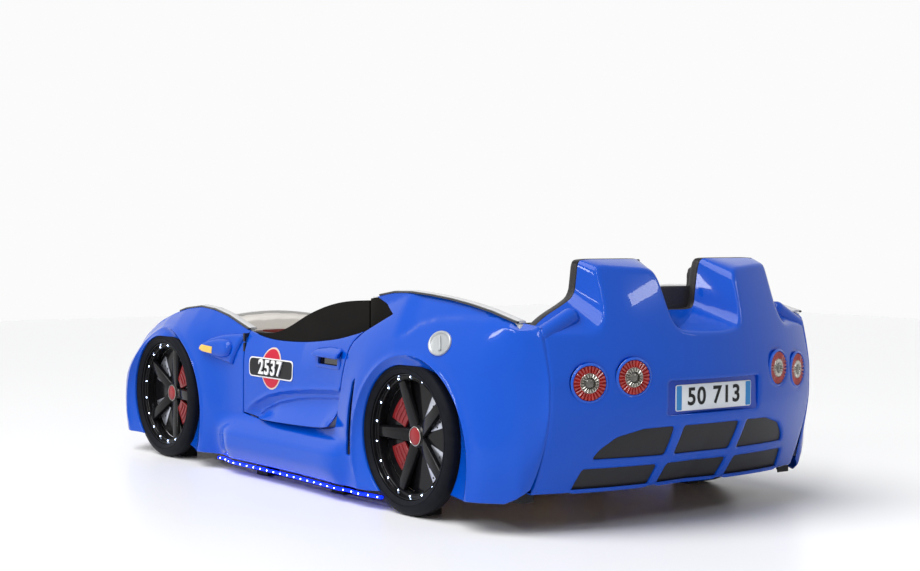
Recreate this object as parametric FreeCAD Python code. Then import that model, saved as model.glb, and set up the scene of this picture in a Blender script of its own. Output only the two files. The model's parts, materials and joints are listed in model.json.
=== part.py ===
import FreeCAD, Part
import math
import os

# Racing-car bed for a child. Millimetres, +X to the nose, +Y to the car's left, +Z up.
# The origin is on the floor, below the middle of the whole bed.

V = FreeCAD.Vector
os.makedirs("parts", exist_ok=True)

# ---------------------------------------------------------------- driving dimensions
MATTRESS_LENGTH = 1900.0
MATTRESS_WIDTH = 896.0
MATTRESS_HEIGHT = 150.0
BOARD = 18.0                    # thickness of the bed boards
SKIN = 8.0                      # thickness of the moulded body panels
CLEAR = 4.0                     # air between the mattress and the boards
TYRE_RADIUS = 196.0
RIM_RADIUS = 154.0

# ---------------------------------------------------------------- bed box
FOOT_IN = MATTRESS_LENGTH / 2.0 + 15.0      # inner face of the foot board
HEAD_IN = FOOT_IN - MATTRESS_LENGTH - 2.5 * CLEAR
FOOT_OUT = FOOT_IN + BOARD
HEAD_OUT = HEAD_IN - BOARD
SIDE_IN = MATTRESS_WIDTH / 2.0 + CLEAR + 3.0
SIDE_OUT = SIDE_IN + BOARD
TOP_Y = SIDE_OUT + SKIN                     # outer face of the side panel at its top edge
BOARD_BOTTOM = 60.0
SLAT_TOP = 185.0
SLAT_THICK = 15.0
RAIL_TOP = SLAT_TOP - SLAT_THICK
SLATS = 14
SLAT_WIDTH = 80.0
DOORSTEP = 345.0                            # the boards are cut down to here at the doors


def place(x):
    """Where a point along the body lies: the ends keep their form and the doors take up the length."""
    give = (MATTRESS_LENGTH - 1900.0) / 2.0
    return x + give * min(1.0, max(-1.0, x / 330.0))


def placed(points):
    return [(place(x), z) for x, z in points]


# ---------------------------------------------------------------- side panel
NOSE_X = place(1140.0)                      # foremost point of the body
TAIL_X = place(-1134.0)                     # rearmost point of the body's middle
REAR_AXLE_X = place(-568.0)
FRONT_AXLE_X = place(742.0)
SIDE_PLAN = SIDE_OUT + 27.0                 # outer face between the wheels
NEAR_Y = SIDE_IN - 55.0                     # the side's cutting tools reach from here
FAR_Y = SIDE_OUT + 147.0                    # to here
REAR_BULGE = 34.0
FRONT_BULGE = 30.0
REAR_CLOSE_X = place(-850.0)
FRONT_CLOSE_X = place(880.0)
ARCH_RADIUS = TYRE_RADIUS + 7.0
ARCH_Y = SIDE_OUT + 6.0                     # inner edge of the sloped arch band
ARCH_LIP = 8.0                              # least width of that band
FLARE_RADIUS = TYRE_RADIUS + 50.0
FLARE_Y = SIDE_OUT + 64.0
FLARE_SHIFT_X = -38.0
FLARE_SHIFT_Z = -40.0
SIDE_REAR_X = place(-1024.0)
SIDE_FRONT_X = place(1062.0)
PANEL_LOW = 62.0                            # lower edge of the panel ahead of the front wheel
SILL_Z = 45.0
SILL_OUT = 42.0
LIP_OUT = 36.0                              # swell of the door over the sill
# belt line: where the blue skin ends upwards (x, z)
BELT_FRONT = placed([(1062, 205), (968, 334), (860, 402), (758, 438), (658, 461), (561, 471),
                     (480, 466), (397, 451), (330, 432), (268, 415), (183, 401), (95, 396), (-42, 400),
                     (-212, 417), (-320, 436), (-372, 446)])
BELT_REAR = placed([(-388, 537), (-466, 549), (-540, 551), (-618, 547), (-702, 540), (-782, 530),
                    (-861, 517), (-937, 500), (-994, 488), (-1035, 477)])
QUARTER_CORNER = (place(-441.0), 485.0)
# air intake ahead of the rear wheel, front edge and then back down the rear edge (x, z)
INTAKE = placed([(-362, 132), (-358, 215), (-366, 290), (-384, 330), (-378, 285), (-374, 215), (-371, 132)])
FILLER_X = place(-720.0)
FILLER_Z = 441.0
FILLER_RADIUS = 47.0
POD = (place(432.0), SIDE_OUT + 35.0, 366.0)
POD_HALF = (112.0, 26.0, 34.0)              # half length, half depth, half height
POD_TILT = 10.0
POD_SIDES = 12
# battens between the side board and the moulded panel: x, x, z, z
BATTENS = [(-940, -915, 120, 470), (-345, -315, 100, 340), (-300, -270, 70, 150), (-40, -10, 70, 150),
           (200, 230, 70, 150), (285, 305, 100, 345), (432, 452, 90, 420), (955, 978, 90, 300)]
SILL_LAMPS = 17
SILL_LIGHT_REAR = place(-415.0)
SILL_LIGHT_FRONT = place(440.0)

# ---------------------------------------------------------------- doors
DOOR_FRONT_X = place(268.0)
SEAM = 4.0
DOOR_LIP = placed([(268, 178), (218, 172), (150, 168), (10, 170), (-107, 174), (-192, 179), (-241, 190)])
DOOR_REAR = placed([(-241, 190), (-255, 225), (-268, 275), (-284, 333), (-300, 370), (-318, 404),
                    (-340, 427), (-372, 446)])
WINDOW_TOP = placed([(224, 413), (120, 418), (59, 434), (-30, 468), (-116, 495), (-200, 513),
                     (-281, 522), (-350, 525)])
DOOR_BATTENS = (-284.0, 24.0), (-60.0, 30.0), (180.0, 30.0)     # x and width
BOARD_GAP_REAR = place(-356.0)              # rear edge of the cut-out in the side board
BOARD_GAP_FRONT = DOOR_FRONT_X - 6.0
HINGE_X = DOOR_FRONT_X + SEAM / 2.0
HINGE_Y = SIDE_OUT + 24.0
KNUCKLE = 4.0
KNUCKLE_HEIGHTS = (368.0, 396.0)
BADGE_X = place(112.0)
BADGE_Z = 317.0
BADGE_RADIUS = 56.0
BADGE_BAND = 122.0                          # half length of the band behind the disc
HANDLE_X = place(-200.0)
HANDLE_HALF = 68.0
CUP = (HANDLE_X - 52.0, HANDLE_X + 50.0, 354.0, 371.0)          # finger recess: x, x, z, z

# ---------------------------------------------------------------- rear panel
REAR_HALF = SIDE_OUT - 35.0                 # half width of the rear panel, seam to seam
REAR_BOW = 0.000547                         # plan bow: x grows by this times y squared
REAR_LEAN = 75.0                            # how far the humps' top leans forward
REAR_TUCK = 118.0
REAR_BOTTOM = 96.0
REAR_STATION = place(-1075.0)               # where the rear outline below is measured
BEHIND = TAIL_X - 66.0                      # the rear's cutting tools start here
# half outlines of the rear form, (y, z) from the middle outwards
FRONT_OUTLINE = [(0, 515), (60, 514), (82, 520), (86, 560), (94, 615), (103, 640), (130, 641),
                 (207, 641), (285, 641), (300, 636), (304, 600), (310, 556), (REAR_HALF - 93, 535),
                 (REAR_HALF - 38, 510), (REAR_HALF, 482)]
REAR_OUTLINE = [(0, 479), (55, 479), (96, 484), (112, 510), (124, 555), (134, 592), (150, 612),
                (207, 613), (258, 612), (268, 598), (273, 552), (284, 492), (REAR_HALF - 126, 452),
                (REAR_HALF - 68, 441), (REAR_HALF, 441)]
TAIL_LAMPS = ((REAR_HALF - 195.0, 370.0), (REAR_HALF - 88.0, 359.0))
LAMP_RADIUS = 41.0
LAMP_RIM = 4.0
CLEAR_RADIUS = 21.0
PLATE_Z = 316.0
PLATE_HALF = 126.5
PLATE_HEIGHT = 62.0
PLATE_FLOOR = TAIL_X + 20.0                 # x of the recess floor
RECESS = (150.0, 278.0, 358.0)              # half width, bottom, top
# half outlines of the grille openings, (y, z)
GRILLE_TOP = [(127, 185), (292, 185), (284, 205), (258, 232), (203, 250), (127, 252)]
GRILLE_LOW = [(145, 110), (312, 110), (306, 158), (145, 158)]
GRILLE_MIDDLE = ((94.0, 185.0, 252.0), (97.0, 110.0, 158.0))    # half width, bottom, top

# ---------------------------------------------------------------- nose panel
NOSE_HALF = REAR_HALF
NOSE_BOW = 0.000405
HOOD_TOP = 430.0
HOOD_DROP = 100.0
NOSE_Z = 200.0
NOSE_BOTTOM = 66.0
HEADLAMP = (NOSE_X - 90.0, NOSE_HALF - 103.0, 52.0, 78.0)       # x, y, half length, half width
HEADLAMP_TURN = 28.0
HEADLAMP_SIDES = 20
NOSE_STATIONS = (-1.0, -0.7, -0.35, 0.0, 0.35, 0.7, 1.0)
NOSE_GRILLE = [(-250, 100), (250, 100), (210, 165), (-210, 165)]

# ---------------------------------------------------------------- trims and pads
TRIM = 9.0
EDGE = 11.0                                 # thickness of the leather edge over the humps
HEAD_PAD = 26.0
FOOT_PAD = 20.0
PAD_HALF = REAR_HALF - 38.0
PAD_CROWN = 8.0

# ---------------------------------------------------------------- wheels
TYRE_IN = SIDE_OUT + 5.0
TYRE_OUT = SIDE_OUT + 49.0
LIP_Y = SIDE_OUT + 39.0
HUB_Y = SIDE_OUT + 13.0
LEDGE_Y = SIDE_OUT + 29.0                   # flat ledge inside the lip, which carries the lamps
HUB_RADIUS = 30.0
SPOKES = 5
SPOKE = 9.0                                 # spoke thickness
LIGHTS = 18
LED_RADIUS = RIM_RADIUS - 9.5
DISC_RADIUS = 112.0


# ---------------------------------------------------------------- small helpers
def save(name, shape):
    if shape.Volume < 0.0:
        shape.reverse()
    shape.exportStep("parts/" + name + ".step")


def box(x0, x1, y0, y1, z0, z1):
    return Part.makeBox(x1 - x0, y1 - y0, z1 - z0, V(x0, y0, z0))


def both(shape):
    """The shape and its mirror image on the car's right."""
    return Part.makeCompound([shape, right(shape)])


def right(shape):
    return shape.mirror(V(0, 0, 0), V(0, 1, 0))


def smooth(t):
    t = min(1.0, max(0.0, t))
    return t * t * (3.0 - 2.0 * t)


def bump(x, middle, width):
    return math.exp(-((x - middle) / width) ** 2)


def along(points, x):
    """Height of a line of (x, z) points at x, rounded between them."""
    pts = sorted(points)
    if x <= pts[0][0]:
        return float(pts[0][1])
    for (xa, za), (xb, zb) in zip(pts, pts[1:]):
        if x <= xb:
            return za + (zb - za) * (x - xa) / (xb - xa)
    return float(pts[-1][1])


def spline(points):
    curve = Part.BSplineCurve()
    curve.interpolate([V(*p) for p in points])
    return curve.toShape()


def pole_curve(points, degree=3):
    curve = Part.BSplineCurve()
    spans = len(points) - degree
    mults = [degree + 1] + [1] * (spans - 1) + [degree + 1]
    curve.buildFromPolesMultsKnots([V(*p) for p in points], mults, list(range(spans + 1)),
                                   False, degree)
    return curve.toShape()


def segments(points):
    return [Part.makeLine(V(*a), V(*b)) for a, b in zip(points, points[1:])]


def prism(edges, direction):
    return Part.Face(Part.Wire(Part.__sortEdges__(edges))).extrude(direction)


def side_prism(edges_of_xz):
    """Solid of a closed outline in the XZ plane, through the whole side."""
    return prism(edges_of_xz, V(0, FAR_Y - NEAR_Y, 0))


def at_side(points):
    return [(x, NEAR_Y, z) for x, z in points]


# ---------------------------------------------------------------- form of the side
def belt(x):
    return along(BELT_FRONT + BELT_REAR, x)


def shoulder_top(x):
    """The belt line without the notch of the quarter window, for the lean of the face."""
    front = [p for p in BELT_FRONT if p[0] > place(-200.0)]
    return along(front + [p for p in BELT_REAR if p[0] < place(-500.0)], x)


def plan_y(x):
    y = SIDE_PLAN + REAR_BULGE * bump(x, REAR_AXLE_X, 330.0)
    y += FRONT_BULGE * bump(x, FRONT_AXLE_X, 300.0)
    if x < REAR_CLOSE_X:
        y -= 65.0 * ((REAR_CLOSE_X - x) / 180.0) ** 2
    if x > FRONT_CLOSE_X:
        y -= 80.0 * ((x - FRONT_CLOSE_X) / 210.0) ** 2
    return y


def side_y(x, z):
    """Outer face of the left side panel."""
    plan = plan_y(x)
    middle = smooth((x - place(-400.0)) / 120.0) * smooth((place(450.0) - x) / 170.0)
    y = plan
    y += middle * SILL_OUT * smooth((175.0 - z) / 60.0)
    y -= middle * 24.0 * smooth((90.0 - z) / 60.0)
    y -= (1.0 - middle) * 26.0 * smooth((170.0 - z) / 140.0)
    for axle in (REAR_AXLE_X, FRONT_AXLE_X):
        d = math.hypot(x - axle - FLARE_SHIFT_X, z - TYRE_RADIUS - FLARE_SHIFT_Z)
        y += (FLARE_Y - y) * bump(max(d, FLARE_RADIUS), FLARE_RADIUS, 75.0)
    shoulder = 90.0 + 90.0 * bump(x, REAR_AXLE_X - 52.0, 260.0) + 30.0 * bump(x, FRONT_AXLE_X, 260.0)
    t = min(1.0, max(0.0, (z - shoulder_top(x) + shoulder) / shoulder))
    crown = min(TOP_Y, plan - 12.0)
    return y + (crown - y) * t ** 2


def door_y(x, z):
    """Outer face of the left door: the side face with a lip that swells over the sill."""
    inside = smooth((DOOR_FRONT_X - x) / 90.0) * smooth((x - place(-330.0)) / 90.0)
    return side_y(x, max(z, 185.0)) + LIP_OUT * inside * smooth((265.0 - z) / 85.0)


def sheet(form, u_range, spans, rows, near, far, to_point):
    """Solid between two offsets of a form: smooth along each row, ruled from row to row."""
    step = (u_range[1] - u_range[0]) / spans
    wires = []
    for v in rows:
        us = [u_range[0] + step * i for i in range(spans + 1)]
        sharp = [(8.0 * form(u, v) - form(u - step, v) - form(u + step, v)) / 6.0 for u in us]
        outer = [to_point(w + far, u, v) for w, u in zip(sharp, us)]
        inner = [to_point(w + near, u, v) for w, u in zip(sharp, us)]
        ends = [segments([outer[0], inner[0]]), segments([inner[-1], outer[-1]])]
        edges = [pole_curve(outer), pole_curve(inner)] + ends[0] + ends[1]
        wires.append(Part.Wire(Part.__sortEdges__(edges)))
    return Part.makeLoft(wires, True, True)


def side_point(y, x, z):
    return (x, y, z)


def end_point(x, y, z):
    return (x, y, z)


def side_layer(inner, outer):
    rows = (30, 75, 120, 170, 215, 275, 340, 400, 450, 500, 565)
    return sheet(side_y, (place(-1050.0), place(1080.0)), 34, rows, inner, outer, side_point)


def door_layer(inner, outer):
    rows = (150, 185, 225, 265, 340, 410, 480)
    return sheet(door_y, (place(-395.0), place(285.0)), 10, rows, inner, outer, side_point)


def rear_layer(inner, outer):
    rows = (50, 95, 150, 205, 255, 300, 360, 440, 530, 680)
    reach = REAR_HALF + 32.0
    return sheet(rear_x, (-reach, reach), 6, rows, inner, outer, end_point)


def door_outline(gap):
    """Edges of the door's outline, drawn in by a gap."""
    lip = [(x, z + gap) for x, z in DOOR_LIP]
    rear = [(x + gap, z) for x, z in DOOR_REAR]
    top = [(x, z) for x, z in BELT_FRONT if DOOR_FRONT_X > x > BELT_FRONT[-1][0]]
    lip[0] = (DOOR_FRONT_X - 1.4 * gap, lip[0][1])
    lip[-1] = (lip[-1][0] + gap, lip[-1][1])
    rear[0] = lip[-1]
    start = (DOOR_FRONT_X - gap, belt(DOOR_FRONT_X - gap))
    end = rear[-1]
    edges = [spline(at_side(lip)), spline(at_side(rear))]
    edges.append(spline(at_side([start] + top + [end])))
    edges += segments(at_side([start, lip[0]]))
    return edges


# ---------------------------------------------------------------- side panels
def flare_reach(angle):
    """Distance from the axle to the flare line, which sits lower and further back than the wheel."""
    along_ray = FLARE_SHIFT_X * math.cos(angle) + FLARE_SHIFT_Z * math.sin(angle)
    shift = math.hypot(FLARE_SHIFT_X, FLARE_SHIFT_Z)
    reach = along_ray + math.sqrt(along_ray ** 2 - shift ** 2 + FLARE_RADIUS ** 2)
    return max(reach, ARCH_RADIUS + ARCH_LIP)


def arch_band(axle):
    """Sloped band from the body's face in to the wheel opening."""
    sections = []
    for i in range(13):
        a = math.radians(-39.0 + 243.0 * i / 12)
        reach = flare_reach(a) - 0.15
        x = axle + reach * math.cos(a)
        z = TYRE_RADIUS + reach * math.sin(a)
        y = side_y(x, z) - 0.5
        near_x = axle + ARCH_RADIUS * math.cos(a)
        near_z = TYRE_RADIUS + ARCH_RADIUS * math.sin(a)
        loop = [(x, y, z), (near_x, ARCH_Y, near_z), (near_x, ARCH_Y - 5.0, near_z), (x, y - 5.0, z)]
        sections.append(Part.Wire(segments(loop + [loop[0]])))
    return Part.makeLoft(sections, True, True)


def belt_lines(rise):
    """The two top edges of a side, ahead of the quarter window and behind it, raised by a step."""
    rear = [(SIDE_REAR_X, belt(SIDE_REAR_X))] + [p for p in sorted(BELT_REAR) if p[0] > SIDE_REAR_X]
    return [spline(at_side([(x, z + rise) for x, z in line])) for line in (BELT_FRONT, rear)]


def panel_outline():
    rear_top = (SIDE_REAR_X, belt(SIDE_REAR_X))
    bottom = placed([(1062, PANEL_LOW + 8), (985, PANEL_LOW), (880, PANEL_LOW), (500, SILL_Z), (-420, SILL_Z),
                     (-700, SILL_Z + 25), (-930, SILL_Z + 31), (-985, SILL_Z + 47)])
    edges = belt_lines(0.0)
    edges += segments(at_side([BELT_FRONT[-1], QUARTER_CORNER, BELT_REAR[0]]))
    edges += segments(at_side([BELT_FRONT[0]] + bottom + [rear_top]))
    return edges


def skin_cutters():
    cutters = []
    for axle in (REAR_AXLE_X, FRONT_AXLE_X):
        centre = V(axle + FLARE_SHIFT_X, NEAR_Y, TYRE_RADIUS + FLARE_SHIFT_Z)
        cutters.append(Part.makeCylinder(FLARE_RADIUS, FAR_Y - NEAR_Y, centre, V(0, 1, 0)))
        centre = V(axle, NEAR_Y, TYRE_RADIUS)
        cutters.append(Part.makeCylinder(ARCH_RADIUS + ARCH_LIP, FAR_Y - NEAR_Y, centre, V(0, 1, 0)))
    return cutters


def intake_outline(grow):
    left = [(x - grow, z) for x, z in INTAKE[4:]]
    right_side = [(x + grow, z) for x, z in INTAKE[:3]]
    tip = (INTAKE[3][0], INTAKE[3][1] + grow)
    loop = right_side + [tip] + left
    loop[0] = (loop[0][0], loop[0][1] - grow)
    loop[-1] = (loop[-1][0], loop[-1][1] - grow)
    return segments(at_side(loop + [loop[0]]))


def knuckle_notches():
    return [box(HINGE_X - 7, HINGE_X + 7, SIDE_OUT - 3, SIDE_OUT + 47, z - 17, z + 17) for z in KNUCKLE_HEIGHTS]


def pod_form():
    """Teardrop pod on the front wing: a spindle of many flats sunk into the skin."""
    length, depth, height = POD_HALF
    wires = []
    for i in range(1, 10):
        a = math.pi * i / 10
        ring = []
        for k in range(POD_SIDES + 1):
            b = 2.0 * math.pi * k / POD_SIDES
            ring.append((length * math.cos(a), depth * math.sin(a) * math.cos(b),
                         height * math.sin(a) * math.sin(b)))
        wires.append(Part.Wire(segments(ring[:-1] + [ring[0]])))
    form = Part.makeLoft(wires, True, True)
    form.rotate(V(0, 0, 0), V(0, 1, 0), POD_TILT)
    form.translate(V(*POD))
    return form


def side_panel():
    skin = side_layer(-SKIN, 0.0).common(side_prism(panel_outline()))
    for cutter in skin_cutters():
        skin = skin.cut(cutter)
    skin = skin.cut(side_prism(door_outline(0.0)))
    skin = skin.cut(side_prism(intake_outline(0.0)))
    skin = skin.cut(filler_tool(0.0))
    for notch in knuckle_notches():
        skin = skin.cut(notch)
    return max(skin.Solids, key=lambda solid: solid.Volume)


def filler_tool(gap):
    return Part.makeCylinder(FILLER_RADIUS - gap, FAR_Y - NEAR_Y, V(FILLER_X, NEAR_Y, FILLER_Z), V(0, 1, 0))


def filler_cap():
    return side_layer(-SKIN, 2.0).common(filler_tool(0.2))


def marker_pod():
    return pod_form().cut(side_layer(-90.0, 0.0))


def marker_lamp():
    """Amber lens on the nose end of the pod."""
    x, y, z = POD
    lens = pod_form()
    lens.translate(V(0, 1.6, 0))
    lens = lens.common(box(x + 36, x + 80, SIDE_OUT, FAR_Y, z - 18, z + 6))
    return lens.cut(pod_form()).cut(side_layer(-90.0, 0.0))


def intake_trim():
    trim = side_layer(-SKIN - 2.0, -SKIN).common(side_prism(intake_outline(5.0)))
    for cutter in skin_cutters():
        trim = trim.cut(cutter)
    return trim


def quarter_window():
    outline = [(BOARD_GAP_REAR, 450), (BOARD_GAP_REAR, 530)]
    outline += placed([(-387, 536), (-440, 486), (-374, 448)])
    loop = [(x, SIDE_OUT, z) for x, z in outline]
    return prism(segments(loop + [loop[0]]), V(0, 7.0, 0))


def panel_battens():
    """Wooden battens between the side board and the moulded panel."""
    space = side_layer(-150.0, -SKIN)
    parts = []
    for x0, x1, z0, z1 in BATTENS:
        parts.append(both(box(place(x0), place(x0) + x1 - x0, SIDE_OUT, FAR_Y, z0, z1).common(space)))
    return Part.makeCompound(parts)


def sill_lights():
    """Carrier under the sill with a row of small lamps on its outer face."""
    carrier = box(SILL_LIGHT_REAR, SILL_LIGHT_FRONT, NEAR_Y, FAR_Y, SILL_Z - 8, SILL_Z)
    strip = side_layer(-SKIN, 0.0).common(carrier)
    first = SILL_LIGHT_REAR + 10.0
    pitch = (SILL_LIGHT_FRONT - 29.0 - first) / (SILL_LAMPS - 1)
    for i in range(SILL_LAMPS):
        x = first + i * pitch
        y = side_y(x, SILL_Z - 4)
        strip = strip.fuse(box(x - 3, x + 3, y - 3, y + 3, SILL_Z - 7, SILL_Z - 1))
    return strip


# ---------------------------------------------------------------- doors
def door_skin():
    skin = door_layer(-SKIN, 0.0).common(side_prism(door_outline(SEAM)))
    skin = skin.cut(box(CUP[0], CUP[1], NEAR_Y, FAR_Y, CUP[2], CUP[3]))
    for notch in knuckle_notches():
        skin = skin.cut(notch)
    return max(skin.Solids, key=lambda solid: solid.Volume)


def window_edge():
    front = DOOR_FRONT_X - 10.0
    return [(front, belt(front))] + WINDOW_TOP


def door_board():
    """Board of the door, with battens out to the moulded skin."""
    top = at_side(window_edge())
    low = DOORSTEP + SEAM
    ends = segments([top[-1], (WINDOW_TOP[-1][0], NEAR_Y, low), (top[0][0], NEAR_Y, low), top[0]])
    board = prism([spline(top)] + ends, V(0, BOARD, 0))
    board.translate(V(0, SIDE_IN - NEAR_Y, 0))
    space = door_layer(-90.0, -SKIN)
    for x, width in DOOR_BATTENS:
        batten = box(place(x), place(x) + width, SIDE_OUT - 1, FAR_Y, low + 3, low + 41)
        board = board.fuse(batten.common(space))
    return board


def door_window():
    top = at_side(WINDOW_TOP)
    front = WINDOW_TOP[0][0]
    rear = WINDOW_TOP[-1][0]
    low = [(front, belt(front))] + [p for p in BELT_FRONT if rear + 10 < p[0] < front] + [(rear, belt(rear))]
    low = at_side([(x, z + 1.0) for x, z in low])
    edges = [spline(top), spline(low)] + segments([top[0], low[0]]) + segments([top[-1], low[-1]])
    pane = prism(edges, V(0, 6.0, 0))
    pane.translate(V(0, SIDE_OUT - NEAR_Y, 0))
    return pane


def door_handle():
    """Paddle over a finger cup."""
    x0 = HANDLE_X - HANDLE_HALF
    x1 = HANDLE_X + HANDLE_HALF
    root = door_layer(0.0, 8.0).common(box(x0, x1, NEAR_Y, FAR_Y, CUP[3] + 3, CUP[3] + 27))
    lip = door_layer(6.0, 12.0).common(box(x0 + 5, x1 - 5, NEAR_Y, FAR_Y, CUP[3] - 9, CUP[3] + 21))
    return root.fuse(lip)


def door_cup():
    x0, x1, z0, z1 = CUP
    cup = box(x0 - 4, x1 + 4, SIDE_OUT, FAR_Y, z0 - 3, z1 + 3).common(door_layer(-90.0, -SKIN))
    return cup.cut(box(x0, x1, SIDE_OUT + 4, FAR_Y, z0, z1))


def door_badge():
    disc = Part.makeCylinder(BADGE_RADIUS, FAR_Y - NEAR_Y, V(BADGE_X, NEAR_Y, BADGE_Z), V(0, 1, 0))
    band = box(BADGE_X - BADGE_BAND, BADGE_X + BADGE_BAND, NEAR_Y, FAR_Y, BADGE_Z - 34, BADGE_Z + 34)
    return door_layer(0.0, 1.2).common(disc.fuse(band))


def knuckle(z0, z1, radius):
    return Part.makeCylinder(radius, z1 - z0, V(HINGE_X, HINGE_Y, z0), V(0, 0, 1))


def hinge_body_leaf():
    leaf = box(HINGE_X + 2, HINGE_X + 30, SIDE_OUT, SIDE_OUT + 3, 353, 411)
    for z in KNUCKLE_HEIGHTS:
        arm = box(HINGE_X + 1.5, HINGE_X + 4.5, SIDE_OUT, HINGE_Y, z - 12, z - 0.3)
        leaf = leaf.fuse(arm).fuse(knuckle(z - 12, z - 0.3, KNUCKLE)).fuse(knuckle(z - 6, z + 11, 1.6))
    return leaf


def hinge_door_leaf():
    leaf = box(HINGE_X - 34, HINGE_X - 14, SIDE_OUT, SIDE_OUT + 3, 353, 411)
    leaf = leaf.fuse(box(HINGE_X - 16, HINGE_X - 1.5, SIDE_OUT + 1, SIDE_OUT + 4, 353, 411))
    for z in KNUCKLE_HEIGHTS:
        arm = box(HINGE_X - 4.5, HINGE_X - 1.5, SIDE_OUT + 1, HINGE_Y, z + 0.3, z + 12)
        bore = knuckle(z + 0.3, z + 12, 1.9)
        leaf = leaf.fuse(arm).fuse(knuckle(z + 0.3, z + 12, KNUCKLE)).cut(bore)
    skin_space = door_layer(-SKIN - 0.1, 0.0).common(box(HINGE_X - 60, HINGE_X - 7, NEAR_Y, FAR_Y, 340, 430))
    return leaf.cut(skin_space)


# ---------------------------------------------------------------- rear panel

def rear_x(y, z):
    """Outer face of the rear panel."""
    lean = REAR_LEAN * (max(0.0, z - 360.0) / 250.0) ** 1.3
    tuck = REAR_TUCK * (max(0.0, 300.0 - z) / 200.0) ** 1.5 * (1.0 - 0.5 * abs(y) / REAR_HALF)
    return TAIL_X + REAR_BOW * y * y + lean + tuck


def top_wire(half, x, inset, bottom):
    """Closed outline at one x: the top line of the humps, straight sides, flat bottom."""
    limit = REAR_HALF - inset
    points = [(min(y, limit), z - inset) for y, z in half]
    line = [(x, -y, z) for y, z in reversed(points[1:])] + [(x, y, z) for y, z in points]
    last = line[-1]
    first = line[0]
    sides = segments([last, (x, limit, bottom), (x, -limit, bottom), first])
    return Part.Wire(segments(line) + sides)


def outline_at(x):
    """Half outline of the rear form at x, carried on straight through the two that are known."""
    t = (x - HEAD_OUT) / (REAR_STATION - HEAD_OUT)
    return [(yf + (yr - yf) * t, zf + (zr - zf) * t) for (yf, zf), (yr, zr) in zip(FRONT_OUTLINE, REAR_OUTLINE)]


def rear_form(inset, front_x):
    """Solid of the rear panel's outside, or of the hollow inside it."""
    bottom = REAR_BOTTOM - 40.0 if inset else REAR_BOTTOM
    rear_end = TAIL_X - 20.0
    wires = [top_wire(outline_at(x), x, inset, bottom) for x in (front_x, rear_end)]
    return Part.makeLoft(wires, True, True).common(rear_layer(inset, 400.0))


def on_rear(shape, y, z):
    """Turns a shape built along +X at the origin square to the rear face at (y, z)."""
    moved = shape.copy()
    moved.rotate(V(0, 0, 0), V(0, 0, 1), -math.degrees(math.atan(2.0 * REAR_BOW * y)))
    moved.translate(V(rear_x(y, z), y, z))
    return moved


def ring(outer_radius, inner_radius, x0, x1):
    solid = Part.makeCylinder(outer_radius, x1 - x0, V(x0, 0, 0), V(1, 0, 0))
    if inner_radius > 0.0:
        solid = solid.cut(Part.makeCylinder(inner_radius, x1 - x0, V(x0, 0, 0), V(1, 0, 0)))
    return solid


def x_prism(yz, x0, x1):
    loop = [(x0, y, z) for y, z in yz]
    return prism(segments(loop + [loop[0]]), V(x1 - x0, 0, 0))


def mirrored(yz):
    return [(-y, z) for y, z in yz]


def grille_prisms(x0, x1):
    shapes = [x_prism(GRILLE_TOP, x0, x1), x_prism(mirrored(GRILLE_TOP), x0, x1)]
    shapes += [x_prism(GRILLE_LOW, x0, x1), x_prism(mirrored(GRILLE_LOW), x0, x1)]
    for half, low, high in GRILLE_MIDDLE:
        shapes.append(box(x0, x1, -half, half, low, high))
    return shapes


def rear_panel():
    shell = rear_form(0.0, HEAD_OUT).cut(rear_form(SKIN, HEAD_OUT + 30.0))
    half, low, high = RECESS
    shell = shell.fuse(box(PLATE_FLOOR, PLATE_FLOOR + 12, -half - 8, half + 8, low - 8, high + 8))
    shell = shell.cut(box(BEHIND, PLATE_FLOOR, -half, half, low, high))
    for side in (1, -1):
        for y, z in TAIL_LAMPS:
            shell = shell.cut(on_rear(ring(LAMP_RADIUS, 0.0, -20.0, 40.0), side * y, z))
    for hole in grille_prisms(BEHIND, TAIL_X + 144.0):
        shell = shell.cut(hole)
    return shell


def tail_lamps():
    """Bezel with a cup behind it, red ring and clear centre of the four lamps."""
    inside = LAMP_RADIUS - LAMP_RIM
    cup = ring(LAMP_RADIUS, inside, -3.0, 20.0).fuse(ring(inside, 0.0, 12.0, 20.0))
    red = ring(inside, CLEAR_RADIUS, -1.0, 12.0)
    clear = ring(CLEAR_RADIUS, 0.0, -3.0, 12.0)
    spots = [(side * y, z) for side in (1, -1) for y, z in TAIL_LAMPS]
    return [Part.makeCompound([on_rear(part, y, z) for y, z in spots]) for part in (cup, red, clear)]


def rear_grille():
    half = GRILLE_LOW[1][0] + 18.0
    low = GRILLE_LOW[0][1] - 8.0
    high = GRILLE_TOP[-1][1] + 10.0
    return rear_layer(SKIN, SKIN + 3.0).common(box(BEHIND, HEAD_OUT, -half, half, low, high))


def number_plate():
    low = PLATE_Z - PLATE_HEIGHT / 2.0
    return box(PLATE_FLOOR - 2.5, PLATE_FLOOR, -PLATE_HALF, PLATE_HALF, low, low + PLATE_HEIGHT)


# ---------------------------------------------------------------- nose panel

def nose_section(y, inset, back):
    """Closed section of the nose at one y."""
    tip = NOSE_X - NOSE_BOW * y * y - inset
    top = HOOD_TOP - HOOD_DROP * (y / NOSE_HALF) ** 2 - inset
    bottom = NOSE_BOTTOM - 30.0 if inset else NOSE_BOTTOM
    reach = tip - FOOT_OUT
    drop = top - NOSE_Z
    hood = ((0.25, 0.05), (0.56, 0.22), (0.80, 0.48), (0.94, 0.76))
    line = [(back, top)] + [(FOOT_OUT + along_hood * reach, top - down * drop) for along_hood, down in hood]
    line += [(tip, NOSE_Z - 10.0), (tip - 5.0, NOSE_Z - 70.0), (tip - 26.0, bottom), (back, bottom)]
    corners = [(x, y, z) for x, z in line]
    return Part.Wire(segments(corners + [corners[0]]))


def nose_form(inset, back):
    half = NOSE_HALF - inset
    return Part.makeLoft([nose_section(half * s, inset, back) for s in NOSE_STATIONS], True, False)


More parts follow.
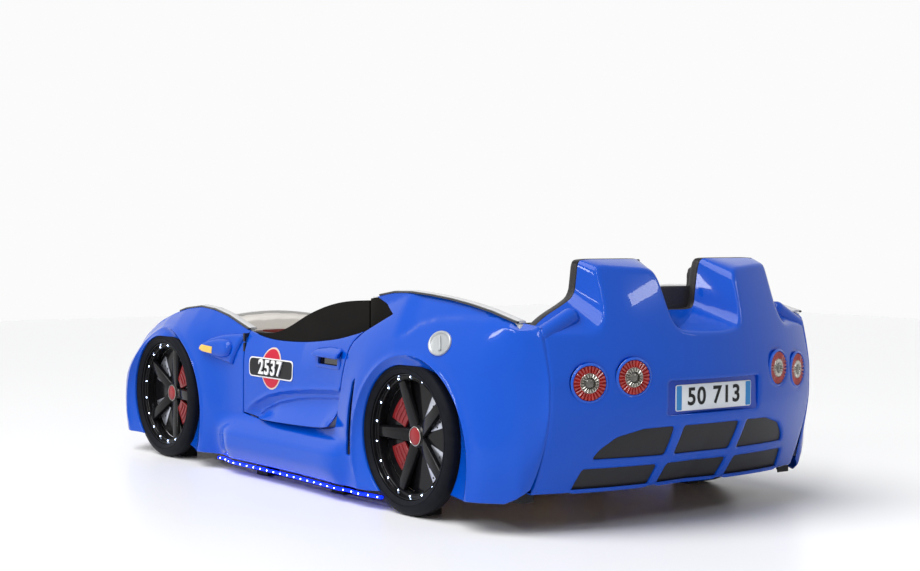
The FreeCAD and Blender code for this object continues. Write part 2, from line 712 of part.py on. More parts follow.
def headlamp_tool(grow, side):
    """Upright prism of a lamp's outline, an ellipse of flats turned to the plan of the nose."""
    x, y, half_length, half_width = HEADLAMP
    corners = []
    for i in range(HEADLAMP_SIDES):
        a = 2.0 * math.pi * i / HEADLAMP_SIDES
        corners.append(((half_length + grow) * math.cos(a), (half_width + grow) * math.sin(a), 0))
    lamp = prism(segments(corners + [corners[0]]), V(0, 0, 300.0))
    lamp.rotate(V(0, 0, 0), V(0, 0, 1), -HEADLAMP_TURN * side)
    lamp.translate(V(x, side * y, NOSE_BOTTOM + 84.0))
    return lamp


def nose_parts():
    """The nose panel, its headlamp lenses and the dark grille behind its mouth."""
    solid = nose_form(0.0, FOOT_OUT)
    shell = solid.cut(nose_form(SKIN, FOOT_OUT - 20.0))
    lenses = [shell.common(headlamp_tool(-0.2, side)) for side in (1, -1)]
    ahead = NOSE_X + 60.0
    mouth = x_prism(NOSE_GRILLE, NOSE_X - 80.0, ahead)
    panel = shell.cut(mouth)
    for side in (1, -1):
        panel = panel.cut(headlamp_tool(0.0, side))
    behind = nose_form(SKIN, FOOT_OUT).cut(nose_form(SKIN + 4.0, FOOT_OUT - 20.0))
    half = NOSE_GRILLE[1][0] + 12.0
    grille = behind.common(box(NOSE_X - 80, ahead, -half, half, NOSE_GRILLE[0][1] - 10, NOSE_GRILLE[2][1] + 10))
    return panel, Part.makeCompound(lenses), grille


# ---------------------------------------------------------------- boards of the bed
def side_board():
    """Board behind the side panel, cut down at the door."""
    gap_top = BELT_REAR[0][1] - 6
    edges = belt_lines(0.0)
    edges += segments(at_side([BELT_FRONT[-1], (BOARD_GAP_REAR, BELT_FRONT[-1][1]), (BOARD_GAP_REAR, gap_top),
                               BELT_REAR[0]]))
    edges += segments(at_side([(SIDE_REAR_X, belt(SIDE_REAR_X)), (SIDE_REAR_X, BOARD_BOTTOM),
                               (SIDE_FRONT_X, BOARD_BOTTOM), BELT_FRONT[0]]))
    board = prism(edges, V(0, BOARD, 0))
    board.translate(V(0, SIDE_IN - NEAR_Y, 0))
    board = board.common(box(HEAD_OUT, FOOT_OUT, SIDE_IN, SIDE_OUT, 0, gap_top + 50))
    board = board.cut(box(BOARD_GAP_REAR, BOARD_GAP_FRONT, SIDE_IN - 5, SIDE_OUT + 5, DOORSTEP, gap_top + 50))
    return board.cut(side_layer(-SKIN, 90.0))


def head_board():
    line = [(HEAD_OUT, -y, z) for y, z in reversed(FRONT_OUTLINE[1:])]
    line += [(HEAD_OUT, y, z) for y, z in FRONT_OUTLINE]
    low = REAR_BOTTOM + 4.0
    foot_line = [(HEAD_OUT, REAR_HALF, low), (HEAD_OUT, -REAR_HALF, low)]
    return prism(segments(line + foot_line + [line[0]]), V(BOARD, 0, 0))


def foot_board():
    steps = 12
    ys = [-SIDE_IN + 2.0 * SIDE_IN * i / steps for i in range(steps + 1)]
    line = [(FOOT_IN, y, HOOD_TOP - HOOD_DROP * (y / NOSE_HALF) ** 2) for y in ys]
    ends = segments([line[-1], (FOOT_IN, SIDE_IN, BOARD_BOTTOM), (FOOT_IN, -SIDE_IN, BOARD_BOTTOM), line[0]])
    return prism([spline(line)] + ends, V(BOARD, 0, 0))


def base_rails():
    rail = box(HEAD_IN, FOOT_IN, SIDE_IN - 28.0, SIDE_IN, RAIL_TOP - 45.0, RAIL_TOP)
    return both(rail)


def centre_beam():
    beam = box(HEAD_IN, FOOT_IN, -22.0, 22.0, RAIL_TOP - 45.0, RAIL_TOP)
    for x in (place(-480.0), 0.0, place(480.0)):
        beam = beam.fuse(box(x - 22, x + 22, -22, 22, 0, RAIL_TOP - 40))
    return beam


def slats():
    pitch = (FOOT_IN - HEAD_IN - SLAT_WIDTH) / (SLATS - 1)
    half = SIDE_IN - 2.0
    parts = []
    for i in range(SLATS):
        x = HEAD_IN + i * pitch
        parts.append(box(x, x + SLAT_WIDTH, -half, half, RAIL_TOP, SLAT_TOP))
    return Part.makeCompound(parts)


def feet():
    pads = []
    for x in (REAR_AXLE_X, place(-180.0), place(220.0), FRONT_AXLE_X - 20.0):
        pads.append(both(box(x - 30, x + 30, SIDE_IN - 28, SIDE_OUT - 6, 0, BOARD_BOTTOM)))
    return Part.makeCompound(pads)


def rounded_rectangle(x0, x1, half, radius, z):
    """Closed wire of lines and arcs about the middle line of the bed."""
    middle_x = (x0 + x1) / 2.0
    reach = (x1 - x0) / 2.0
    diagonal = radius * (1.0 - math.sqrt(0.5))
    edges = []
    for sx, sy in ((1, 1), (-1, 1), (-1, -1), (1, -1)):
        start = V(middle_x + sx * reach, sy * (half - radius), z)
        turn = V(middle_x + sx * (reach - diagonal), sy * (half - diagonal), z)
        end = V(middle_x + sx * (reach - radius), sy * half, z)
        edges.append(Part.Arc(start, turn, end).toShape())
    for s in (1, -1):
        edges += segments([(x0 + radius, s * half, z), (x1 - radius, s * half, z)])
        edges += segments([(middle_x + s * reach, radius - half, z), (middle_x + s * reach, half - radius, z)])
    return Part.Wire(Part.__sortEdges__(edges))


def mattress():
    """Foam block in its cover: rounded edges, sides drawn in between them and a crowned top."""
    x0 = HEAD_IN + CLEAR + 6.0
    x1 = x0 + MATTRESS_LENGTH - 8.0
    half = MATTRESS_WIDTH / 2.0
    crown = MATTRESS_HEIGHT + 6.0
    layers = ((10.0, 0.0), (0.0, 16.0), (5.0, 0.5 * MATTRESS_HEIGHT), (0.0, MATTRESS_HEIGHT - 18.0),
              (12.0, MATTRESS_HEIGHT - 3.0), (90.0, crown))
    wires = []
    for inset, height in layers:
        wires.append(rounded_rectangle(x0 + inset, x1 - inset, half - inset, 50.0, SLAT_TOP + height))
    return Part.makeLoft(wires, True, True)


def corner_brackets():
    parts = []
    for x, way in ((HEAD_IN, 1.0), (FOOT_IN, -1.0)):
        for z in (75.0, 205.0):
            long_leg = box(min(x, x + way * 40), max(x, x + way * 40), SIDE_IN - 3, SIDE_IN, z, z + 40)
            short = box(min(x, x + way * 3), max(x, x + way * 3), SIDE_IN - 40, SIDE_IN, z, z + 40)
            parts.append(both(long_leg.fuse(short)))
    return Part.makeCompound(parts)


def screws():
    """Cap screws that hold the head and foot boards to the side boards."""
    parts = []
    for x in (HEAD_IN + 24.0, FOOT_IN - 24.0):
        for z in (95.0, 225.0):
            head = Part.makeCylinder(5.0, 3.0, V(x, SIDE_IN - 6.0, z), V(0, 1, 0))
            parts.append(both(head))
    return Part.makeCompound(parts)


# ---------------------------------------------------------------- trims and pads
def top_trim():
    """Padded strips along the top edges, ahead of the door and behind the quarter window."""
    strips = []
    spans = ((DOOR_FRONT_X + 8.0, FRONT_AXLE_X - 42.0), (HEAD_OUT - 3.0, FOOT_OUT))
    for lower, upper, (x0, x1) in zip(belt_lines(0.0), belt_lines(TRIM), spans):
        ends = []
        for a, b in zip(lower.Vertexes, upper.Vertexes):
            ends.append(Part.makeLine(a.Point, b.Point))
        strip = prism([lower, upper] + ends, V(0, TOP_Y + 1.0 - SIDE_IN + 2.0, 0))
        strip.translate(V(0, SIDE_IN - 2.0 - NEAR_Y, 0))
        strips.append(strip.common(box(x0, x1, SIDE_IN - 2, FAR_Y, 0, 700)))
    return Part.makeCompound(strips)


def head_trim():
    """Thick leather edge that wraps the top of the head board over the humps."""
    def loop(raise_by):
        return [(HEAD_OUT - 4, -y, z + raise_by) for y, z in reversed(FRONT_OUTLINE[1:])] + \
               [(HEAD_OUT - 4, y, z + raise_by) for y, z in FRONT_OUTLINE]
    high = loop(EDGE)
    low = loop(0.0)
    ends = segments([low[0], high[0]]) + segments([low[-1], high[-1]])
    return prism(segments(high) + segments(low) + ends, V(BOARD + 10, 0, 0))


def pad_loft(outline, steps, bottom):
    """Padded panel whose face is drawn in step by step; steps are (x, inset)."""
    wires = []
    for x, inset in steps:
        top = [(x, y * (1.0 - inset / PAD_HALF), z - inset) for y, z in outline]
        low = bottom + inset
        reach = PAD_HALF - inset
        wires.append(Part.Wire(segments(top + [(x, reach, low), (x, -reach, low), top[0]])))
    return Part.makeLoft(wires, True, True)


def head_pad():
    """Upholstered pad on the head board, with its top drawn in below the edge."""
    half = [(y, z - 6.0) for y, z in FRONT_OUTLINE[:-1]]
    outline = [(-y, z) for y, z in reversed(half[1:])] + half
    steps = ((HEAD_IN, 0.0), (HEAD_IN + HEAD_PAD - PAD_CROWN, 0.0), (HEAD_IN + HEAD_PAD, PAD_CROWN))
    return pad_loft(outline, steps, SLAT_TOP + MATTRESS_HEIGHT + 8.0)


def foot_pad():
    """Padded roll along the top of the foot board."""
    ys = [-PAD_HALF + PAD_HALF * i / 4 for i in range(9)]
    outline = [(y, HOOD_TOP - 2.0 - HOOD_DROP * (y / NOSE_HALF) ** 2) for y in ys]
    steps = ((FOOT_IN, 0.0), (FOOT_IN - FOOT_PAD + PAD_CROWN, 0.0), (FOOT_IN - FOOT_PAD, PAD_CROWN))
    return pad_loft(outline, steps, SLAT_TOP + MATTRESS_HEIGHT + 8.0)


# ---------------------------------------------------------------- wheels

def turned(profile):
    """Solid of revolution about +Y from (radius, y) corners."""
    loop = [(r, y, 0) for r, y in profile]
    face = Part.Face(Part.Wire(segments(loop + [loop[0]])))
    return face.revolve(V(0, 0, 0), V(0, 1, 0), 360.0)


def tyre():
    r = TYRE_RADIUS
    return turned([(RIM_RADIUS, TYRE_IN), (r, TYRE_IN), (r, TYRE_OUT - 14), (r - 9, TYRE_OUT - 3),
                   (r - 22, TYRE_OUT), (RIM_RADIUS, LIP_Y + 2)])


def rim(first_spoke):
    r = RIM_RADIUS
    body = turned([(r - 14, SIDE_OUT), (r, SIDE_OUT), (r, LIP_Y), (r - 5, LIP_Y), (r - 5, LEDGE_Y),
                   (r - 14, LEDGE_Y)])
    hub = turned([(0, SIDE_OUT), (HUB_RADIUS, SIDE_OUT), (HUB_RADIUS, HUB_Y), (0, HUB_Y)])
    root = HUB_RADIUS - 3
    low = HUB_Y - SPOKE
    high = LEDGE_Y - SPOKE
    for i in range(SPOKES):
        near = [(root, low, -17), (r - 10, high, -9), (r - 10, high, 9), (root, low, 17)]
        face = Part.Face(Part.Wire(segments(near + [near[0]])))
        spoke = face.extrude(V(0, SPOKE, 0))
        spoke.rotate(V(0, 0, 0), V(0, 1, 0), -(first_spoke + 360.0 / SPOKES * i))
        body = body.fuse(spoke)
    return body.fuse(hub)


def brake_disc():
    return turned([(HUB_RADIUS + 1, SIDE_OUT), (DISC_RADIUS, SIDE_OUT), (DISC_RADIUS, SIDE_OUT + 3),
                   (HUB_RADIUS + 1, SIDE_OUT + 3)])


def caliper(way):
    """Two-piston caliper beside the hub; way turns it to the front or the rear."""
    profile = []
    for i in range(7):
        a = math.radians(-38.0 + 76.0 * i / 6)
        profile.append((way * 118.0 * math.cos(a), 118.0 * math.sin(a)))
    for i in range(5):
        a = math.radians(30.0 - 60.0 * i / 4)
        profile.append((way * 76.0 * math.cos(a), 76.0 * math.sin(a)))
    loop = [(x, SIDE_OUT + 3.0, z) for x, z in profile]
    return Part.Face(Part.Wire(segments(loop + [loop[0]]))).extrude(V(0, 3.5, 0))


def hub_cap():
    return turned([(0, HUB_Y), (HUB_RADIUS - 4, HUB_Y), (HUB_RADIUS - 7, HUB_Y + 4), (0, HUB_Y + 5)])


def wheel_lamps():
    """Small lamps on the ledge of a rim, one every 20 degrees."""
    lamps = []
    for i in range(LIGHTS):
        lamp = box(LED_RADIUS - 2.5, LED_RADIUS + 2.5, LEDGE_Y, LEDGE_Y + 3.0, -2.5, 2.5)
        lamp.rotate(V(0, 0, 0), V(0, 1, 0), 360.0 / LIGHTS * i)
        lamps.append(lamp)
    return Part.makeCompound(lamps)


def at_axle(shape, axle):
    moved = shape.copy()
    moved.translate(V(axle, 0, TYRE_RADIUS))
    return moved


def led_driver():
    """Driver box for the lights, with its power inlet, under the slats by the head board."""
    x0 = HEAD_IN + 100.0
    case = box(x0, x0 + 120, SIDE_IN - 50, SIDE_IN, 68, 112)
    inlet = box(x0 - 8, x0, SIDE_IN - 38, SIDE_IN - 12, 78, 100)
    return case.fuse(inlet).cut(box(x0 - 8, x0 - 2, SIDE_IN - 34, SIDE_IN - 16, 82, 96))


# ---------------------------------------------------------------- all the pieces
def on_all_axles(shape, other=None):
    parts = []
    for axle in (REAR_AXLE_X, FRONT_AXLE_X):
        piece = shape if axle == REAR_AXLE_X or other is None else other
        parts.append(both(at_axle(piece, axle)))
    return Part.makeCompound(parts)


PAIRS = [("side_panel", side_panel), ("side_board", side_board), ("door_skin", door_skin),
         ("door_board", door_board), ("door_window", door_window), ("door_badge", door_badge),
         ("door_hinge_leaf", hinge_door_leaf)]
for name, make in PAIRS:
    piece = make()
    save(name + "_left", piece)
    save(name + "_right", right(piece))
handle = Part.makeCompound([door_handle(), door_cup()])
save("door_handle_left", handle)
save("door_handle_right", right(handle))

nose, lenses, grille = nose_parts()
save("nose_panel", nose)
save("headlamp_lenses", lenses)
save("nose_grille", grille)
save("rear_panel", rear_panel())
for name, piece in zip(("tail_lamp_bezels", "tail_lamp_reds", "tail_lamp_clears"), tail_lamps()):
    save(name, piece)
save("rear_grille", rear_grille())
save("number_plate", number_plate())

SINGLES = [("head_board", head_board), ("foot_board", foot_board), ("base_rails", base_rails),
           ("centre_beam", centre_beam), ("slats", slats), ("feet", feet), ("mattress", mattress),
           ("corner_brackets", corner_brackets), ("screws", screws), ("panel_battens", panel_battens),
           ("head_trim", head_trim), ("head_pad", head_pad), ("foot_pad", foot_pad),
           ("led_driver", led_driver)]
for name, make in SINGLES:
    save(name, make())

MIRRORED = [("top_trim", top_trim), ("sill_lights", sill_lights), ("marker_pods", marker_pod),
            ("marker_lamps", marker_lamp), ("intake_trims", intake_trim),
            ("quarter_windows", quarter_window), ("door_hinge_frames", hinge_body_leaf)]
for name, make in MIRRORED:
    save(name, both(make()))
save("arch_bands", both(Part.makeCompound([arch_band(a) for a in (REAR_AXLE_X, FRONT_AXLE_X)])))
save("filler_cap", filler_cap())

save("tyres", on_all_axles(tyre()))
save("rims", on_all_axles(rim(0.0), rim(36.0)))
save("brake_discs", on_all_axles(brake_disc()))
save("brake_calipers", on_all_axles(caliper(1.0), caliper(-1.0)))
save("hub_caps", on_all_axles(hub_cap()))
save("wheel_lamps", on_all_axles(wheel_lamps()))
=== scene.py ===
import json
import math
import bpy
import bmesh
import numpy as np
from mathutils import Matrix, Vector, geometry

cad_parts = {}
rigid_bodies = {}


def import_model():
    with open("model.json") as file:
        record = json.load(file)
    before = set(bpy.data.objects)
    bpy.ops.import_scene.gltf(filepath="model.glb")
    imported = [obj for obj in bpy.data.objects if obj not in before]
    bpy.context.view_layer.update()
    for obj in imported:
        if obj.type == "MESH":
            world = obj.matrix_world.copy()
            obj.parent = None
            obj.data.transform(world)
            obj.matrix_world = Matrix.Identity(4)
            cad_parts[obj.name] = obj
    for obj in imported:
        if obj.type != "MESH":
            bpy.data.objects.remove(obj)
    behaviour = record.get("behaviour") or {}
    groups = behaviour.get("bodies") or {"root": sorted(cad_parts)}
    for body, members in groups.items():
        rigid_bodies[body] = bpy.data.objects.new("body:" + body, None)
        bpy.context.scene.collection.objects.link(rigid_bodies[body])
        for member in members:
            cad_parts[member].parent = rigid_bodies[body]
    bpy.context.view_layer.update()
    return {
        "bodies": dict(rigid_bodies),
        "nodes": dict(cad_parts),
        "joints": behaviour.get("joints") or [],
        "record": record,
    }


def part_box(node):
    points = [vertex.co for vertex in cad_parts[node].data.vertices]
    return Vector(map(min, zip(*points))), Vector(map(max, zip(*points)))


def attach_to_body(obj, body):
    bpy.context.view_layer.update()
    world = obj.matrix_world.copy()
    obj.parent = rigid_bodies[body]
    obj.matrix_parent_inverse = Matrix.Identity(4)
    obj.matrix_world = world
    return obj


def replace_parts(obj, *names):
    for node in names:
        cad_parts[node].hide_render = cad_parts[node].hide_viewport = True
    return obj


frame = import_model()
bpy.ops.object.select_all(action="DESELECT")

# ---------------- sizes in metres; those that move come from the frame
TYRE_LOW, TYRE_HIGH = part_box("tyres")
TYRE_R = (TYRE_HIGH[2] - TYRE_LOW[2]) / 2
AXLE_Z = TYRE_LOW[2] + TYRE_R
REAR_AXLE = TYRE_LOW[0] + TYRE_R
FRONT_AXLE = TYRE_HIGH[0] - TYRE_R
SIDE_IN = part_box("slats")[1][1] + 0.002
SIDE_OUT = SIDE_IN + 0.018
TOP_Y = SIDE_OUT + 0.008
(HEAD_OUT, _, _), (HEAD_IN, REAR_HALF, _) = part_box("head_board")
(FOOT_IN, _, _), (FOOT_OUT, _, _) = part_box("foot_board")
TAIL_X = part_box("number_plate")[1][0] - 0.020
BOARD_GAP_REAR = -0.356
BOARD_GAP_FRONT = 0.262
DOORSTEP = 0.345

MIRROR = Matrix.Diagonal((1, -1, 1, 1))


# ---------------- materials
def node_material(name, color, roughness=0.5, metallic=0.0, coat=0.0, coat_roughness=0.05, sheen=0.0, shine=0.2):
    mat = bpy.data.materials.new(name)
    mat.use_nodes = True
    shader = mat.node_tree.nodes["Principled BSDF"]
    shader.inputs["Base Color"].default_value = (*color, 1.0)
    shader.inputs["Roughness"].default_value = roughness
    shader.inputs["Metallic"].default_value = metallic
    shader.inputs["Specular IOR Level"].default_value = shine
    shader.inputs["Coat Weight"].default_value = coat
    shader.inputs["Coat Roughness"].default_value = coat_roughness
    shader.inputs["Sheen Weight"].default_value = sheen
    return mat


def grained(name, color_a, color_b, roughness, scale, bump=0.0, kind="NOISE", stretch=(1, 1, 1), distance=0.001,
            detail=4.0, **finish):
    """Material whose colour varies between two tones, with a procedural pattern that also roughens it."""
    mat = node_material(name, color_a, roughness, **finish)
    tree = mat.node_tree
    shader = tree.nodes["Principled BSDF"]
    coord = tree.nodes.new("ShaderNodeTexCoord")
    mapping = tree.nodes.new("ShaderNodeMapping")
    mapping.inputs["Scale"].default_value = stretch
    tree.links.new(coord.outputs["Object"], mapping.inputs["Vector"])
    if kind == "VORONOI":
        pattern = tree.nodes.new("ShaderNodeTexVoronoi")
        out = pattern.outputs["Distance"]
    else:
        pattern = tree.nodes.new("ShaderNodeTexNoise")
        pattern.inputs["Detail"].default_value = detail
        out = pattern.outputs["Fac"]
    pattern.inputs["Scale"].default_value = scale
    tree.links.new(mapping.outputs["Vector"], pattern.inputs["Vector"])
    ramp = tree.nodes.new("ShaderNodeValToRGB")
    ramp.color_ramp.elements[0].color = (*color_a, 1)
    ramp.color_ramp.elements[1].color = (*color_b, 1)
    tree.links.new(out, ramp.inputs["Fac"])
    tree.links.new(ramp.outputs["Color"], shader.inputs["Base Color"])
    if bump:
        bumper = tree.nodes.new("ShaderNodeBump")
        bumper.inputs["Strength"].default_value = bump
        bumper.inputs["Distance"].default_value = distance
        tree.links.new(out, bumper.inputs["Height"])
        tree.links.new(bumper.outputs["Normal"], shader.inputs["Normal"])
    return mat


def glowing(mat, color, strength):
    shader = mat.node_tree.nodes["Principled BSDF"]
    shader.inputs["Emission Color"].default_value = (*color, 1.0)
    shader.inputs["Emission Strength"].default_value = strength
    return mat


paint_blue = grained("gloss blue paint", (0.0, 0.072, 0.515), (0.0, 0.077, 0.545), 0.16, 3.0, 0.02, distance=0.0006,
                     detail=1.0, coat=0.40, coat_roughness=0.02, shine=0.08)
gloss_black = grained("gloss black plastic", (0.009, 0.009, 0.010), (0.013, 0.013, 0.014), 0.14, 6.0, 0.0, coat=0.6)
window_black = grained("satin black window", (0.008, 0.0075, 0.007), (0.013, 0.012, 0.011), 0.5, 9.0, 0.0, shine=0.02)
rim_black = grained("gloss black rim", (0.004, 0.004, 0.005), (0.008, 0.008, 0.009), 0.14, 12.0, 0.0, coat=0.15,
                    shine=0.1)
spoke_grey = grained("satin black spoke", (0.012, 0.012, 0.013), (0.018, 0.018, 0.019), 0.3, 14.0, 0.0, coat=0.3)
tyre_rubber = grained("tyre rubber", (0.005, 0.0055, 0.008), (0.011, 0.012, 0.016), 0.5, 60.0, 0.15, distance=0.0004,
                      shine=0.06)
grille_grey = grained("dark grille plastic", (0.018, 0.018, 0.020), (0.028, 0.028, 0.031), 0.42, 300.0, 0.1,
                      distance=0.0003)
leather_black = grained("black leather", (0.014, 0.012, 0.013), (0.034, 0.031, 0.032), 0.42, 260.0, 0.35, "VORONOI",
                        distance=0.0008, sheen=0.1)
piping_grey = grained("pale piping", (0.56, 0.56, 0.57), (0.68, 0.68, 0.69), 0.5, 240.0, 0.3, "VORONOI",
                      distance=0.0005)
red_leather = grained("dark red leather", (0.12, 0.014, 0.012), (0.2, 0.028, 0.024), 0.45, 240.0, 0.35, "VORONOI",
                      distance=0.0006)
cream_fabric = grained("cream cover", (0.74, 0.70, 0.65), (0.82, 0.79, 0.74), 0.85, 420.0, 0.3, distance=0.0006,
                       sheen=0.3)
mattress_white = grained("mattress ticking", (0.76, 0.74, 0.70), (0.84, 0.82, 0.79), 0.9, 380.0, 0.35,
                         distance=0.0008, sheen=0.3)
pine = grained("pine slats", (0.56, 0.36, 0.18), (0.74, 0.54, 0.31), 0.55, 16.0, 0.12, stretch=(1.0, 0.12, 1.0),
               distance=0.0006)
pine_long = grained("pine beams", (0.56, 0.36, 0.18), (0.74, 0.54, 0.31), 0.55, 16.0, 0.12, stretch=(0.1, 1.0, 1.0),
                    distance=0.0006)
steel = grained("zinc plated steel", (0.48, 0.49, 0.51), (0.62, 0.63, 0.65), 0.32, 90.0, 0.05, distance=0.0003,
                metallic=1.0)
disc_steel = grained("brushed brake disc", (0.42, 0.44, 0.5), (0.68, 0.7, 0.78), 0.3, 120.0, 0.1, distance=0.0003,
                     metallic=0.8)
caliper_red = grained("red caliper enamel", (0.16, 0.006, 0.008), (0.26, 0.010, 0.013), 0.3, 50.0, 0.1,
                      distance=0.0004, coat=0.3)
cap_red = grained("red hub cap", (0.24, 0.010, 0.014), (0.34, 0.016, 0.02), 0.28, 30.0, 0.0, coat=0.3)
lamp_red = glowing(grained("red lamp lens", (0.14, 0.004, 0.004), (0.40, 0.018, 0.014), 0.18, 90.0, 0.15, "VORONOI",
                           distance=0.001, coat=1.0),
                   (0.6, 0.02, 0.01), 0.08)
lamp_dark = node_material("lamp reflector shade", (0.06, 0.02, 0.02), 0.3)
lamp_ring_blue = grained("pale blue lamp ring", (0.005, 0.085, 0.54), (0.01, 0.095, 0.57), 0.2, 30.0, 0.0, coat=0.3)
lamp_centre = grained("lamp centre", (0.03, 0.03, 0.028), (0.20, 0.19, 0.17), 0.18, 90.0, 0.1, metallic=0.7, coat=0.6)
# Plate recess: the body blue darkened as painted shade in the recess.
recess_shaded_blue = grained("recess blue with painted shade", (0.0, 0.043, 0.40), (0.0, 0.048, 0.44), 0.22, 4.0, 0.0, coat=0.3)
chrome = node_material("lamp chrome", (0.42, 0.41, 0.38), 0.22, metallic=1.0)
silver_cap = grained("silver filler cap", (0.34, 0.36, 0.37), (0.52, 0.54, 0.55), 0.34, 26.0, 0.1, distance=0.0008,
                     metallic=0.35, coat=0.3)
amber = glowing(grained("amber lens", (0.68, 0.38, 0.04), (0.85, 0.56, 0.12), 0.15, 40.0, 0.1, coat=0.8),
                (0.9, 0.55, 0.1), 0.15)
led_white = glowing(node_material("light spot", (0.75, 0.82, 1.0), 0.3), (0.55, 0.68, 1.0), 16.0)
led_strip = glowing(node_material("light strip", (0.0, 0.01, 0.35), 0.5), (0.0, 0.012, 0.9), 3.5)
plate_white = grained("plate enamel", (0.74, 0.79, 0.84), (0.82, 0.85, 0.88), 0.3, 12.0, 0.0, coat=0.3)
plate_blue = node_material("plate end band", (0.02, 0.22, 0.55), 0.3, coat=0.3)
ink_black = node_material("black figures", (0.008, 0.008, 0.009), 0.4)
badge_red = node_material("badge red", (0.52, 0.004, 0.03), 0.35, coat=0.1)
badge_white = node_material("badge white", (0.82, 0.82, 0.82), 0.3, coat=0.4)
badge_edge = node_material("badge pale edge", (0.72, 0.56, 0.46), 0.35)
glass_clear = node_material("clear lens", (0.8, 0.86, 0.92), 0.05, coat=1.0)
board_white = grained("white lacquered board", (0.61, 0.61, 0.60), (0.64, 0.64, 0.63), 0.45, 8.0, 0.0)
# Painted shade: the feet and corner brackets are coloured black where they stand in the shade under the sill and the
# rear panel.
feet_shade_black = grained("black plastic foot", (0.01, 0.01, 0.011), (0.016, 0.016, 0.017), 0.5, 20.0, 0.0)
# Painted shade: the head board is coloured black because it shows in the shade below the rear panel; the battens and
# door boards share this black.
boards_shade_black = grained("wood painted black as shade", (0.011, 0.010, 0.010), (0.02, 0.018, 0.017), 0.6, 14.0, 0.1,
                       stretch=(1, 1, 8))
driver_black = grained("driver case", (0.016, 0.016, 0.016), (0.03, 0.03, 0.03), 0.5, 200.0, 0.1)


# ---------------- form of the body, as in the solids
SIDE_PLAN = SIDE_OUT + 0.027
REAR_CLOSE = HEAD_OUT + 0.113
FRONT_CLOSE = FOOT_OUT - 0.103
ARCH_R = TYRE_R - 0.017
ARCH_Y = SIDE_OUT + 0.0540
ARCH_LIP = 0.008
FLARE_R = TYRE_R + 0.050
FLARE_Y = SIDE_OUT + 0.064
FLARE_DX = -0.038
FLARE_DZ = -0.040
SILL_Z = 0.045
DOOR_FRONT = 0.268
SEAM = 0.004
BELT_FRONT = [(1.062, .205), (.968, .334), (.860, .402), (.758, .438), (.658, .461), (.561, .471), (.480, .466),
              (.397, .451), (.330, .432), (.268, .415), (.183, .401), (.095, .396), (-.042, .400), (-.212, .417),
              (-.320, .436), (-.372, .446)]
BELT_REAR = [(-.388, .537), (-.466, .549), (-.540, .551), (-.618, .547), (-.702, .540), (-.782, .530),
             (-.861, .517), (-.937, .500), (-.994, .488), (-1.024, .480)]
QUARTER_CORNER = (-.492, .497)
DOOR_LIP = [(.268, .178), (.218, .172), (.150, .168), (.010, .170), (-.107, .174), (-.192, .179), (-.241, .190)]
DOOR_REAR = [(-.241, .190), (-.255, .225), (-.268, .275), (-.284, .333), (-.300, .370), (-.318, .404),
             (-.340, .427), (-.372, .446)]
CREASE_HIGH = [(.268, .184), (.248, .190), (.190, .218), (.127, .241), (.048, .257), (-.036, .268), (-.140, .278),
               (-.272, .287), (-.33, .29)]
CREASE_LOW = [(.268, .176), (.185, .180), (.150, .200), (.075, .225), (-.009, .241), (-.090, .252), (-.280, .268),
              (-.33, .270)]
INTAKE = [(-.331, .126), (-.325, .180), (-.331, .248), (-.347, .316), (-.363, .330), (-.352, .248), (-.346, .180),
          (-.348, .126)]
BULGE = [(-.500, .420), (-.577, .448), (-.619, .473), (-.679, .488), (-.776, .496), (-.863, .498), (-.946, .486),
         (-1.046, .462)]
REAR_BOW = 0.547


def smooth(t):
    t = np.clip(t, 0.0, 1.0)
    return t * t * (3.0 - 2.0 * t)


def bump(x, middle, width):
    return np.exp(-((x - middle) / width) ** 2)


def height_of(line, x):
    """Height of a line of (x, z) points at x."""
    pts = np.array(sorted(line))
    return np.interp(x, pts[:, 0], pts[:, 1])


SHOULDER = [p for p in BELT_FRONT if p[0] > -.2] + [p for p in BELT_REAR if p[0] < -.5]


def plan_y(x):
    y = SIDE_PLAN + 0.034 * bump(x, REAR_AXLE, 0.33) + 0.030 * bump(x, FRONT_AXLE, 0.30)
    y = y - 0.065 * np.clip((REAR_CLOSE - x) / 0.18, 0, None) ** 2
    return y - 0.080 * np.clip((x - FRONT_CLOSE) / 0.21, 0, None) ** 2


def side_y(x, z):
    """Outer face of the left side panel."""
    plan = plan_y(x)
    middle = smooth((x + 0.40) / 0.12) * smooth((0.45 - x) / 0.17)
    y = plan + middle * 0.042 * smooth((0.175 - z) / 0.060)
    y = y - middle * 0.024 * smooth((0.090 - z) / 0.060)
    y = y - (1.0 - middle) * 0.026 * smooth((0.170 - z) / 0.140)
    for axle in (REAR_AXLE, FRONT_AXLE):
        d = np.hypot(x - axle - FLARE_DX, z - AXLE_Z - FLARE_DZ)
        y = y + (FLARE_Y - y) * bump(np.maximum(d, FLARE_R), FLARE_R, 0.075)
    shoulder = 0.090 + 0.090 * bump(x, REAR_AXLE - 0.052, 0.26) + 0.030 * bump(x, FRONT_AXLE, 0.26)
    t = np.clip((z - height_of(SHOULDER, x) + shoulder) / shoulder, 0, 1)
    crown = np.minimum(TOP_Y, plan - 0.012)
    y = y + (crown - y) * t ** 2
    for level in (0.150, 0.138, 0.126):
        y = y + middle * 0.0022 * bump(z, level, 0.0030) * smooth((0.30 - x) / 0.05)
    fade = smooth((-0.52 - x) / 0.08) * smooth((x + 1.03) / 0.06)
    y = y - 0.009 * fade * smooth((z - height_of(BULGE, x)) / 0.010)
    close = REAR_HALF + 0.0015
    rear = rear_x(REAR_HALF, z)
    edge = np.clip((x - rear) / np.clip(HEAD_OUT - 0.006 - rear, 0.008, 0.085), 0, 1)
    return close + (y - close) * np.sqrt(np.clip(1 - (1 - edge) ** 2, 0, 1))


